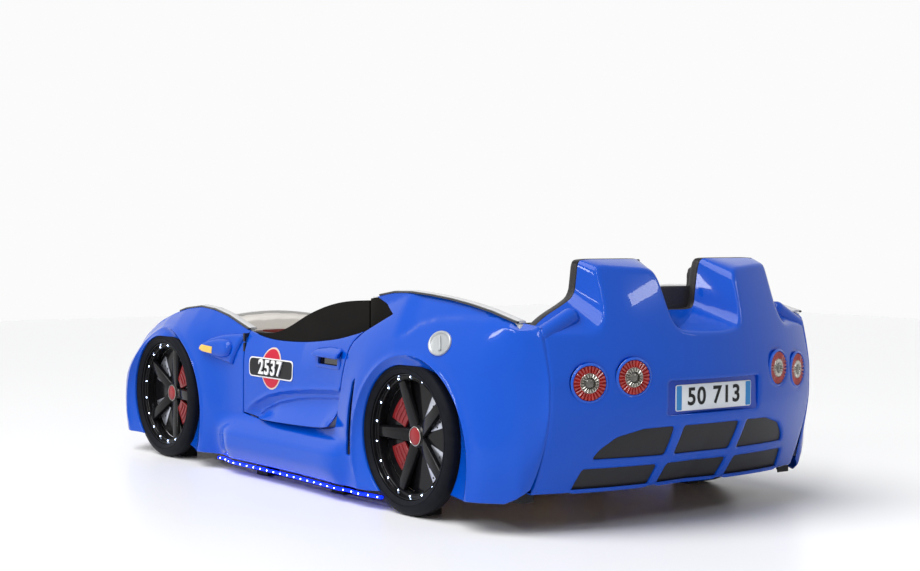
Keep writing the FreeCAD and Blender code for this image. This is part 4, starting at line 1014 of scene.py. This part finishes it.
def tail_lamps():
    r = LAMP_R
    bezel = turned("tail_lamp_rings", [
        (r - .0005, -.012), (r, -.012), (r + .0060, -.0018), (r + .0052, -.0006), (r + .0030, .0006),
        (r + .0015, .0014), (r + .0005, .0012), (r - .0003, -.0004)], 96)
    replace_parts(dressed(set_out(bezel, LAMP_PLACES), [lamp_ring_blue]), "tail_lamp_bezels")
    red = cells("tail_lamp_red_cells", .0228, r - .0004, 26, -.0030, .0012)
    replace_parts(dressed(set_out(red, LAMP_PLACES), [lamp_red], angle=25), "tail_lamp_reds")
    petals = cells("tail_lamp_petals", .0125, .0228, 17, -.0032, .0022)
    dressed(set_out(petals, LAMP_PLACES), [chrome], angle=25)
    step = turned("tail_lamp_steps", [(.0218, -.0032), (.0234, -.0032), (.0234, -.0010), (.0226, -.0004),
                                      (.0218, -.0010)], 60)
    dressed(set_out(step, LAMP_PLACES), [chrome])
    centre = turned("tail_lamp_centres", [(0.0, .0018), (.0045, .0012), (.0085, -.0006), (.0112, -.0030),
                                          (.0132, -.0040)], 48, closed=False)
    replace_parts(dressed(set_out(centre, LAMP_PLACES), [lamp_centre]), "tail_lamp_clears")
    cup = turned("tail_lamp_cups", [(0.0, -.006), (r - .0006, -.006), (r - .0006, -.010), (0.0, -.010)], 48,
                 closed=False)
    dressed(set_out(cup, LAMP_PLACES), [lamp_dark])


tail_lamps()


# ---------------- number plate and its recess
def rear_box(name, y0, y1, z0, z1, x0, x1, radius, mat, soft=0.0008):
    corners = rounded_loop([(y0, z0), (y1, z0), (y1, z1), (y0, z1)], radius, 0.1, 6)
    obj = block(name, [(y, z) for y, z in corners], x1 - x0)
    obj.data.transform(Matrix(((0, 1, 0, x0), (1, 0, 0, 0), (0, 0, 1, 0), (0, 0, 0, 1))))
    outwards(obj)
    if soft:
        softened_edges(obj, soft, 2)
    return dressed(obj, [mat])


def figures(name, text, height, place, turn, mat, body="bed", depth=0.0008):
    """Plain figures as a mesh, set at a place with the given turn."""
    bpy.ops.object.select_all(action="DESELECT")
    bpy.ops.object.text_add(location=(0, 0, 0))
    obj = bpy.context.active_object
    obj.data.body = text
    obj.data.size = height
    obj.data.align_x = "CENTER"
    obj.data.align_y = "CENTER"
    obj.data.extrude = depth / 2
    obj.data.offset = 0.0012
    obj.data.space_character = 1.12
    bpy.ops.object.convert(target="MESH")
    obj = bpy.context.active_object
    obj.name = name
    matrix = turn.to_4x4()
    matrix.translation = place
    obj.data.transform(matrix)
    return dressed(obj, [mat], body, 30)


PLATE_Z = 0.316
# The plate recess carries painted shade, a darker blue than the body paint.
rear_box("plate_recess", -.156, .156, .272, .364, PLATE_FLOOR - .001, PLATE_FLOOR + .004, .006, recess_shaded_blue)
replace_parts(rear_box("plate_face", -.1265, .1265, PLATE_Z - .031, PLATE_Z + .031, PLATE_FLOOR - .0036,
                     PLATE_FLOOR - .001, .006, plate_white), "number_plate")
for name, y in (("plate_band_left", .1075), ("plate_band_right", -.1245)):
    rear_box(name, y, y + .017, PLATE_Z - .029, PLATE_Z + .029, PLATE_FLOOR - .0040, PLATE_FLOOR - .0034, .003,
             plate_blue, 0.0)
REAR_TURN = Matrix(((0, 0, -1), (-1, 0, 0), (0, 1, 0)))
figures("plate_figures", "50 713", .058, (PLATE_FLOOR - .0040, 0.0, PLATE_Z), REAR_TURN, ink_black)


def recessed(u, v, depth=0.0):
    return rear_surface(u, v, depth + 0.0065)


def grilles():
    """Dark panels behind the openings."""
    pieces = []
    for n, loop in enumerate(GRILLES):
        for side in ((1, -1) if n < 2 else (1,)):
            area = oriented(rounded_loop([(side * y, z) for y, z in loop], 0.008, 0.006), 1)
            verts, faces = shell(recessed, drawn_in(area, -0.004), [], 0.012, 0.001, 0.003)
            pieces.append(loose("grille_panels", verts, [], faces))
    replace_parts(dressed(outwards(joined("grille_panels", pieces)), [grille_grey]), "rear_grille")


grilles()

# ---------------- raised pieces of the sides
def distance_in(points, loop):
    """Distance of each point from a closed outline."""
    a = np.array(loop)
    b = np.roll(a, -1, 0)
    run = b - a
    length = (run ** 2).sum(1)
    rel = points[:, None, :] - a[None]
    t = np.clip((rel * run[None]).sum(2) / length[None], 0, 1)
    near = a[None] + run[None] * t[..., None]
    return np.sqrt(((points[:, None, :] - near) ** 2).sum(2)).min(1)


def pillow(form, loop, height, rim):
    """Form raised over an outline: up a rounded rim to a height."""
    def raised(x, z):
        points = np.stack([np.ravel(x), np.ravel(z)], 1)
        d = np.clip(distance_in(points, loop) / rim, 0, 1)
        d = np.where(inside(points, loop), d, 0.0)
        lift = height * np.sqrt(np.clip(1 - (1 - d) ** 2, 0, 1))
        return form(x, z) + lift.reshape(np.shape(x))
    return raised


def at_form(form, x, z):
    return float(np.ravel(form(np.array([float(x)]), np.array([float(z)])))[0])


def side_frame(form, x, z):
    """Matrix that turns a piece built about the Y axis square to the side at (x, z)."""
    e = 0.003
    across = (at_form(form, x + e, z) - at_form(form, x - e, z)) / (2 * e)
    rise = (at_form(form, x, z + e) - at_form(form, x, z - e)) / (2 * e)
    out = Vector((-across, 1.0, -rise)).normalized()
    up = Vector((0, 0, 1))
    up = (up - out * up.dot(out)).normalized()
    matrix = Matrix((out.cross(up), out, up)).transposed().to_4x4()
    matrix.translation = (x, at_form(form, x, z), z)
    return matrix


def on_side(name, form, loop, mat, body="bed", step=0.004, radius=0.001, depth=0.003, holes=()):
    """Thin moulded piece on a form, and its mirror image on the other side."""
    verts, faces = shell(side_surface(form), oriented(np.array(loop), 1), list(holes), step, radius, depth)
    left = new_piece(name + "_left", verts, faces, mat, body)
    return [left, mirror_piece(left, name + "_right", body.replace("left", "right"))]


def lifted(form, height):
    return lambda x, z: form(x, z) + height


def shorter(points):
    return [(.270 + (x - .268) * .76, .353 + (z - .355) * .88) for x, z in points]


POD_EDGE = shorter([(.543, .354), (.505, .385), (.450, .400), (.390, .408), (.330, .413), (.268, .415)])
POD_LOW = shorter([(.340, .311), (.400, .319), (.470, .331), (.520, .344), (.543, .354)])


def marker_pods():
    front = straight([POD_EDGE[-1], (.296, .362), POD_LOW[0]], 0.004)
    loop = np.vstack([curve_through(POD_EDGE, 0.004)[:-1], front[:-1], curve_through(POD_LOW, 0.004)[:-1]])
    skirt = pillow(body_y, loop, 0.010, 0.012)
    pieces = on_side("marker_pod", skirt, loop, paint_blue, radius=0.0008, depth=0.002)
    eye = curve_through(shorter([(.536, .357), (.500, .379), (.440, .391), (.385, .394), (.345, .387), (.330, .366),
                                 (.345, .342), (.390, .331), (.450, .335), (.505, .345), (.536, .357)]), 0.004)[:-1]
    inner = pillow(skirt, eye, 0.014, 0.018)
    pieces += on_side("marker_eye", inner, eye, paint_blue, step=0.003, radius=0.0006, depth=0.002)
    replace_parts(joined("marker_pods", pieces), "marker_pods")
    lamp = rounded_loop(shorter([(.515, .349), (.438, .343), (.434, .366), (.508, .371)]), 0.003, 0.003)
    amber_pieces = on_side("marker_lamp", lifted(inner, 0.0016), lamp, amber, step=0.003, radius=0.0006, depth=0.0016)
    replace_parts(joined("marker_lenses", amber_pieces), "marker_lamps")


def door_handles():
    loop = rounded_loop([(-.124, .375), (-.146, .392), (-.205, .399), (-.270, .398), (-.280, .390), (-.277, .374),
                         (-.266, .369), (-.150, .369), (-.130, .370)], 0.005, 0.003)

    def paddle(x, z):
        stand = smooth(np.clip((0.402 - z) / 0.024, 0, 1))
        return door_y(x, z) + 0.015 * stand

    rounded = pillow(paddle, loop, 0.003, 0.006)
    left, right = on_side("handle_paddle", rounded, loop, paint_blue, "door_left", 0.003, 0.0016, 0.006)
    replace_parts(left, "door_handle_left")
    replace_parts(right, "door_handle_right")
    cup = rounded_loop([(-.264, .342), (-.140, .342), (-.140, .378), (-.264, .378)], 0.006, 0.003)
    on_side("handle_cup", lifted(door_y, -0.007), cup, gloss_black, "door_left", 0.005, 0.001, 0.004)
    frame_loop = rounded_loop([(-.266, .340), (-.136, .340), (-.130, .360), (-.134, .382), (-.268, .382),
                               (-.272, .360)], 0.008, 0.003)
    hole = rounded_loop([(-.256, .350), (-.148, .350), (-.148, .374), (-.256, .374)], 0.006, 0.003)
    on_side("handle_frame", pillow(door_y, frame_loop, 0.0035, 0.006), frame_loop, paint_blue, "door_left", 0.003,
            0.0008, 0.003, [oriented(hole, 1)])


def badges():
    """Plain number on a dark band over a red oval."""
    x, z = .112, .317
    steps = [2 * math.pi * k / 64 for k in range(64)]
    for name, wide, high, mat, lift in (("badge_oval_edge", .055, .059, badge_edge, .0008),
                                        ("badge_oval", .0505, .0545, badge_red, .0013)):
        oval_loop = [(x + wide * math.cos(a), z + high * math.sin(a)) for a in steps]
        pair = on_side(name, lifted(door_y, lift), oval_loop, mat, "door_left", 0.006, 0.0003, 0.0008)
        if name == "badge_oval":
            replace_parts(pair[0], "door_badge_left")
            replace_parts(pair[1], "door_badge_right")
    for name, grow, mat, lift in (("badge_band_edge", .0035, badge_white, .0019),
                                  ("badge_band", 0.0, ink_black, .0024)):
        half, high = .116 + grow, .0245 + grow
        corners = [(x - half, z - high), (x + half, z - high), (x + half, z + high), (x - half, z + high)]
        on_side(name, lifted(door_y, lift), rounded_loop(corners, 0.016, 0.004), mat, "door_left", 0.006, 0.0003,
                0.0008)
    for side, body in ((1, "door_left"), (-1, "door_right")):
        turn = Matrix(((-side, 0, 0), (0, 0, side), (0, 1, 0)))
        text = figures("badge_number_" + body[5:], "2537", .058, (x, 0, z), turn, badge_white, body, 0.0030)
        co = np.array([tuple(v.co) for v in text.data.vertices])
        co[:, 1] += side * (door_y(co[:, 0], co[:, 2]) + 0.0052)
        text.data.vertices.foreach_set("co", co.ravel())


def filler_cap():
    frame = side_frame(body_y, -.722, .438)
    dish = turned("filler_dish", [(0.0, .0008), (.026, .0008), (.0335, .0022), (.0352, .0046), (.0385, .0062),
                                  (.0418, .0058), (.0440, .0036), (.0448, -.002)], 72, closed=False)
    grip = block("filler_grip", rounded_loop([(-.0135, -.024), (-.0035, -.028), (.0135, .024), (.0035, .028)], .004,
                                             0.01, 4), .0062)
    softened_edges(grip, .0024, 3)
    piece = joined("filler_cap_shell", [dish, grip])
    squat = Matrix.Diagonal((.92, .8, .70, 1.0))
    piece.data.transform(frame @ squat)
    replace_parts(dressed(piece, [silver_cap]), "filler_cap")


def intakes():
    loop = rounded_loop([(x + (.006 if k < 4 else -.006), z) for k, (x, z) in enumerate(INTAKE)], 0.0025, 0.006)
    pieces = on_side("intake_back", lifted(body_y, -0.0085), loop, gloss_black, depth=0.002)
    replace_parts(joined("intake_backs", pieces), "intake_trims")


def sill_lights():
    x0, x1 = -.475, .405
    z = SILL_Z - 0.011
    xs = np.linspace(x0, x1, 60)
    path = [(x, at_form(body_y, x, SILL_Z + .002) - .003, z) for x in xs]
    left = swept("sill_strip", path, oval(.009, .008, 10, 3.5))
    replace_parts(both_strips("sill_strips", [left], led_strip, 35), "sill_lights")
    bead = turned("sill_beads", [(0.0, .0016), (.0010, .0013), (.0016, .0007), (.0019, -.001)], 12, closed=False)
    places = []
    for x in np.linspace(x0 + .012, x1 - .012, 24):
        matrix = Matrix.Translation((x, at_form(body_y, x, SILL_Z + .002) + .0012, z))
        places += [matrix, MIRROR @ matrix]
    dressed(set_out(bead, places), [led_white])


marker_pods()
door_handles()
badges()
filler_cap()
intakes()
sill_lights()


# ---------------- padded edges along the top
def top_trims():
    pads, lines = [], []
    for line, x0, x1 in ((BELT_FRONT, .274, .700), (BELT_REAR, -.960, -.400)):
        xs = np.linspace(x0, x1, 90)
        heights = [float(height_of(line, x)) for x in xs]
        pads.append(swept("pad", [(x, SIDE_IN + .010, z + .0036) for x, z in zip(xs, heights)],
                          oval(.024, .007, 16, 3.0)))
        lines.append(swept("line", [(x, TOP_Y - .003, z + .0026) for x, z in zip(xs, heights)],
                           oval(.010, .0060, 10, 2.6)))
    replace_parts(both_strips("top_pads", pads, piping_grey), "top_trim")
    both_strips("top_lines", lines, gloss_black)


def hump_leather():
    """Leather edge rolled over the head board, from corner to corner."""
    line = HUMP_FRONT[::-1]
    keep = [line[0]]
    for point in line[1:]:
        if np.hypot(*(point - keep[-1])) > 0.003:
            keep.append(point)
    path = [(HEAD_OUT + .0135, y, z) for y, z in keep]
    edge = swept("leather_edge_roll", path, [(a, b - .0052) for a, b in oval(.0255, .0135, 20, 3.2)], (1, 0, 0))
    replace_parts(dressed(outwards(edge), [leather_black], angle=50), "head_trim")


top_trims()
hump_leather()

# ---------------- boards
def side_boards():
    """Bed sides: level with the panel's top edge, and cut away over the doors and under the rear."""
    xs = np.linspace(HEAD_OUT + .001, -.392, 60)
    rear = [(x, float(height_of(BELT_REAR, x)) - .002) for x in xs]
    xs = np.linspace(-.372, FOOT_OUT - .001, 110)
    front = [(x, float(height_of(BELT_FRONT, x)) - .002) for x in xs]
    step = [(BOARD_GAP_REAR, rear[-1][1]), (BOARD_GAP_REAR, DOORSTEP), (BOARD_GAP_FRONT, DOORSTEP)]
    ahead = [p for p in front if p[0] > BOARD_GAP_FRONT + .002]
    low = [(FOOT_OUT - .001, .075), (.60, .062), (-.60, .062), (-.75, .105), (HEAD_OUT + .001, .118)]
    board = block("side_board", rear + step + ahead + low, SIDE_OUT - SIDE_IN - .001)
    board.data.transform(Matrix.Translation((0, SIDE_IN + .0005, 0)))
    softened_edges(board, .001, 2, 50)
    left = dressed(board, [board_white])
    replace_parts(left, "side_board_left")
    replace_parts(mirror_piece(left, "side_board_opposite"), "side_board_right")


def cad_finishes():
    """Materials of the nodes that are shown as they come from the solids."""
    # The head board's black is painted shade for the shade under the rear panel.
    for mat, nodes in ((boards_shade_black, "head_board panel_battens door_board_left door_board_right"),
                       (board_white, "foot_board"), (pine_long, "base_rails centre_beam"), (pine, "slats"),
                       # the feet and corner brackets are painted black as shade
                       (feet_shade_black, "feet corner_brackets"), (steel, "screws"), (driver_black, "led_driver"),
                       (gloss_black, "door_hinge_frames door_hinge_leaf_left door_hinge_leaf_right"),
                       (window_black, "quarter_windows door_window_left door_window_right"),
                       (paint_blue, "nose_panel"), (glass_clear, "headlamp_lenses"), (grille_grey, "nose_grille")):
        for node in nodes.split():
            slots = frame["nodes"][node].data.materials
            slots.clear()
            slots.append(mat)


cad_finishes()
side_boards()
pane = block("quarter_window_pane", [(-.357, .449), (-.357, .531), (-.388, .535), (-.494, .4965), (-.374, .447)],
             .0055)
pane.data.transform(Matrix.Translation((0, SIDE_OUT + .0008, 0)))
softened_edges(pane, .0008, 2)
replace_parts(both_strips("quarter_window_panes", [pane], window_black), "quarter_windows")


def shoulder_rolls():
    """Rounded roll along the outboard part of the rear panel's front edge."""
    stations = np.linspace(0, 1, 40)[:, None]
    first, last = np.array((HEAD_OUT - .022, .441, .4595)), np.array((HEAD_OUT - .030, .330, .5165))
    ends = np.minimum(np.minimum(stations / .10, (1 - stations) / .16), 1.0)
    sizes = np.sqrt(np.maximum(1 - (1 - ends) ** 2, 1e-4))
    roll = swept("roll", first + (last - first) * stations, oval(.046, .044, 28, 2.2), (1, 0, 0), sizes)
    both_strips("shoulder_rolls", [roll], paint_blue, 50)


shoulder_rolls()


# ---------------- pads and mattress
CLOTH_FRAMES = 20


def stuffed(obj, voxel, cap, keep, subdivide=True):
    """The shape filled out as cloth over foam: it swells by up to a cap, and stays put where keep says 0."""
    pick(obj)
    obj.data.remesh_voxel_size = voxel
    bpy.ops.object.voxel_remesh()
    count = len(obj.data.vertices)
    rest = np.empty(count * 3)
    obj.data.vertices.foreach_get("co", rest)
    rest = rest.reshape(-1, 3)
    cloth = obj.modifiers.new("cloth", "CLOTH")
    cloth.settings.use_pressure = True
    cloth.settings.uniform_pressure_force = 4.0
    cloth.settings.effector_weights.gravity = 0.0
    cloth.point_cache.frame_start = 1
    cloth.point_cache.frame_end = CLOTH_FRAMES
    scene = bpy.context.scene
    for number in range(1, CLOTH_FRAMES + 1):
        scene.frame_set(number)
    solved = obj.evaluated_get(bpy.context.evaluated_depsgraph_get())
    swollen = np.empty(count * 3)
    solved.data.vertices.foreach_get("co", swollen)
    move = swollen.reshape(-1, 3) - rest
    obj.modifiers.clear()
    scene.frame_set(1)
    length = np.linalg.norm(move, axis=1)
    move *= (np.minimum(length, cap) / np.maximum(length, 1e-9))[:, None]
    rest = rest + move * keep(rest)[:, None]
    obj.data.vertices.foreach_set("co", rest.ravel())
    modify(obj, "SMOOTH", factor=0.5, iterations=4)
    if subdivide:
        modify(obj, "SUBSURF", levels=1, render_levels=1)
    return obj


def shaped(obj, move):
    co = np.array([tuple(v.co) for v in obj.data.vertices])
    obj.data.vertices.foreach_set("co", move(co).ravel())
    obj.data.update()


def in_yz(obj, x0, direction):
    """A block of (y, z) corners turned to stand across the bed, from x0 towards a direction."""
    obj.data.transform(Matrix(((0, direction, 0, x0), (1, 0, 0, 0), (0, 0, 1, 0), (0, 0, 0, 1))))
    return outwards(obj)


def head_pad():
    """Upright padded panel on the head board, with upright sewn channels."""
    top = [(y, max(z, GAP_ROLL if abs(y) < .10 else 0.0) - .006) for y, z in softened(both_sides(FRONT_OUTLINE[:-1]))]
    half = REAR_HALF - .040
    top = [(float(np.clip(y, -half, half)), z) for y, z in top]
    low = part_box("head_pad")[0][2]
    pad = block("head_pad_stuffed", [(-half, low)] + top + [(half, low)], .020)
    in_yz(pad, HEAD_IN, 1)
    stuffed(pad, .006, .016, lambda p: smooth((p[:, 0] - HEAD_IN) / .012))

    def channels(p):
        face = smooth((p[:, 0] - HEAD_IN - .006) / .010)
        inset = np.zeros(len(p))
        for y in np.arange(-.36, .361, .06):
            inset += .0045 * bump(p[:, 1], y, .0035)
        out = p.copy()
        out[:, 0] = np.clip(p[:, 0], HEAD_IN, HEAD_IN + .034) - inset * face
        return out

    shaped(pad, channels)
    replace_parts(dressed(pad, [leather_black], angle=60), "head_pad")


def foot_pad():
    """Cream roll along the top of the foot board, over a red band."""
    box_low, box_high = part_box("foot_pad")
    ys = np.linspace(-.398, .398, 40)
    crown = [(y, box_high[2] - .004 - HOOD_DROP * (y / NOSE_HALF) ** 2) for y in ys]
    pad = block("foot_pad_stuffed", [(-.398, box_low[2])] + crown + [(.398, box_low[2])], .015)
    in_yz(pad, FOOT_IN, -1)
    stuffed(pad, .005, .012, lambda p: smooth((FOOT_IN - p[:, 0]) / .010))

    def seam_height(y):
        return box_high[2] - .060 - HOOD_DROP * (y / NOSE_HALF) ** 2

    def seam(p):
        out = p.copy()
        groove = .004 * bump(p[:, 2], seam_height(p[:, 1]), .003) * smooth((FOOT_IN - p[:, 0] - .005) / .008)
        out[:, 0] = np.clip(p[:, 0], FOOT_IN - .028, FOOT_IN) + groove
        return out

    shaped(pad, seam)
    for polygon in pad.data.polygons:
        polygon.material_index = int(polygon.center.z < seam_height(polygon.center.y))
    pad.data.materials.append(None)
    pad.data.materials.append(None)
    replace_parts(dressed(pad, [cream_fabric, red_leather], angle=60), "foot_pad")


def mattress():
    """Foam mattress in its cover, with a quilted top."""
    (x0, _, z0), (x1, half, z1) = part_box("mattress")
    corners = rounded_loop([(x0 + .008, -half + .010), (x1 - .008, -half + .010), (x1 - .008, half - .010),
                            (x0 + .008, half - .010)], .045, .02, 6)
    body = block("mattress_stuffed", corners, z1 - z0 - .012)
    body.data.transform(Matrix(((1, 0, 0, 0), (0, 0, 1, 0), (0, 1, 0, z0), (0, 0, 0, 1))))
    stuffed(outwards(body), .014, .012, lambda p: smooth((p[:, 2] - z0) / .03), False)

    def quilted(p):
        out = p.copy()
        across = smooth((half - .03 - np.abs(p[:, 1])) / .05) * smooth((x1 - .03 - p[:, 0]) / .05)
        across *= smooth((p[:, 0] - x0 - .03) / .05) * smooth((p[:, 2] - z1 + .04) / .02)
        wave = np.abs(np.sin(p[:, 0] * math.pi / .19)) * np.abs(np.sin(p[:, 1] * math.pi / .19 + math.pi / 2))
        out[:, 2] = np.clip(p[:, 2] + across * .004 * (wave - 1.0), z0, z1)
        out[:, 1] = np.clip(p[:, 1], -half, half)
        out[:, 0] = np.clip(p[:, 0], x0, x1)
        return out

    shaped(body, quilted)
    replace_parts(dressed(body, [mattress_white], angle=60), "mattress")


GAP_ROLL = 0.582               # top of the leather between the humps
HOOD_DROP = 0.100              # how far the foot pad falls off to its sides
NOSE_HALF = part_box("foot_board")[1][1] - .017
head_pad()
foot_pad()
mattress()

# ---------------- camera
YAW, PITCH, ROLL = 0.642466, 0.0350972, 0.00463511
CAMERA_PLACE = (-3.9327, 2.8680, 0.716)
camera_data = bpy.data.cameras.new("camera")
camera_data.lens = 65.14
camera_data.sensor_width = 36.0
camera_data.clip_start = 0.05
camera = put("camera", camera_data)
ahead = Vector((math.cos(YAW), -math.sin(YAW), 0.0))
across = Vector((-math.sin(YAW), -math.cos(YAW), 0.0))
up = Vector((0.0, 0.0, 1.0))
view = ahead * math.cos(PITCH) - up * math.sin(PITCH)
head = ahead * math.sin(PITCH) + up * math.cos(PITCH)
right = across * math.cos(ROLL) + head * math.sin(ROLL)
top_axis = head * math.cos(ROLL) - across * math.sin(ROLL)
pose = Matrix((right, top_axis, -view)).transposed().to_4x4()
pose.translation = CAMERA_PLACE
camera.matrix_world = pose
bpy.context.scene.camera = camera


# ---------------- studio
def area_light(name, place, target, size, power):
    data = bpy.data.lights.new(name, "AREA")
    data.shape = "RECTANGLE"
    data.size, data.size_y = size
    data.energy = power
    lamp = put(name, data)
    way = Vector(target) - Vector(place)
    turn = way.to_track_quat("-Z", "Y").to_matrix().to_4x4()
    turn.translation = place
    lamp.matrix_world = turn


area_light("side softbox", (0.2, 4.0, 2.0), (-0.1, 0.2, 0.3), (2.6, 0.22), 36)
area_light("edge light", (-2.8, 2.4, 2.6), (-0.7, 0.2, 0.5), (0.16, 2.2), 20)
area_light("rear strip", (-3.6, -1.6, 2.4), (-0.9, 0, 0.5), (1.6, 0.14), 10)

data = bpy.data.lights.new("overhead light", "SUN")
data.energy = 2.85
data.angle = math.radians(50)
sun = put("overhead light", data)
sun.matrix_world = Vector((-0.05, -0.5, -0.86)).to_track_quat("-Z", "Y").to_matrix().to_4x4()

world = bpy.data.worlds.new("studio")
bpy.context.scene.world = world
world.use_nodes = True
tree = world.node_tree
ambient = tree.nodes["Background"]
ambient.inputs["Color"].default_value = (0.92, 0.94, 0.97, 1.0)
ambient.inputs["Strength"].default_value = 0.13
white = tree.nodes.new("ShaderNodeBackground")
white.inputs["Color"].default_value = (0.965, 0.965, 0.965, 1.0)
white.inputs["Strength"].default_value = 1.0
rays = tree.nodes.new("ShaderNodeLightPath")
total = rays.outputs["Is Camera Ray"]
for kind in ("Is Glossy Ray", "Is Transmission Ray"):
    add = tree.nodes.new("ShaderNodeMath")
    add.operation = "ADD"
    add.use_clamp = True
    tree.links.new(total, add.inputs[0])
    tree.links.new(rays.outputs[kind], add.inputs[1])
    total = add.outputs[0]
mix = tree.nodes.new("ShaderNodeMixShader")
tree.links.new(total, mix.inputs[0])
tree.links.new(ambient.outputs[0], mix.inputs[1])
tree.links.new(white.outputs[0], mix.inputs[2])
tree.links.new(mix.outputs[0], tree.nodes["World Output"].inputs["Surface"])

bpy.ops.object.select_all(action="DESELECT")
bpy.ops.mesh.primitive_plane_add(size=16.0, location=(0, 0, 0))
floor = bpy.context.active_object
floor.name = "floor"
floor_mat = grained("pale floor", (0.945, 0.945, 0.95), (0.955, 0.955, 0.96), 0.35, 1.2, 0.0)
floor.data.materials.append(floor_mat)

bpy.context.scene.view_settings.view_transform = "Standard"
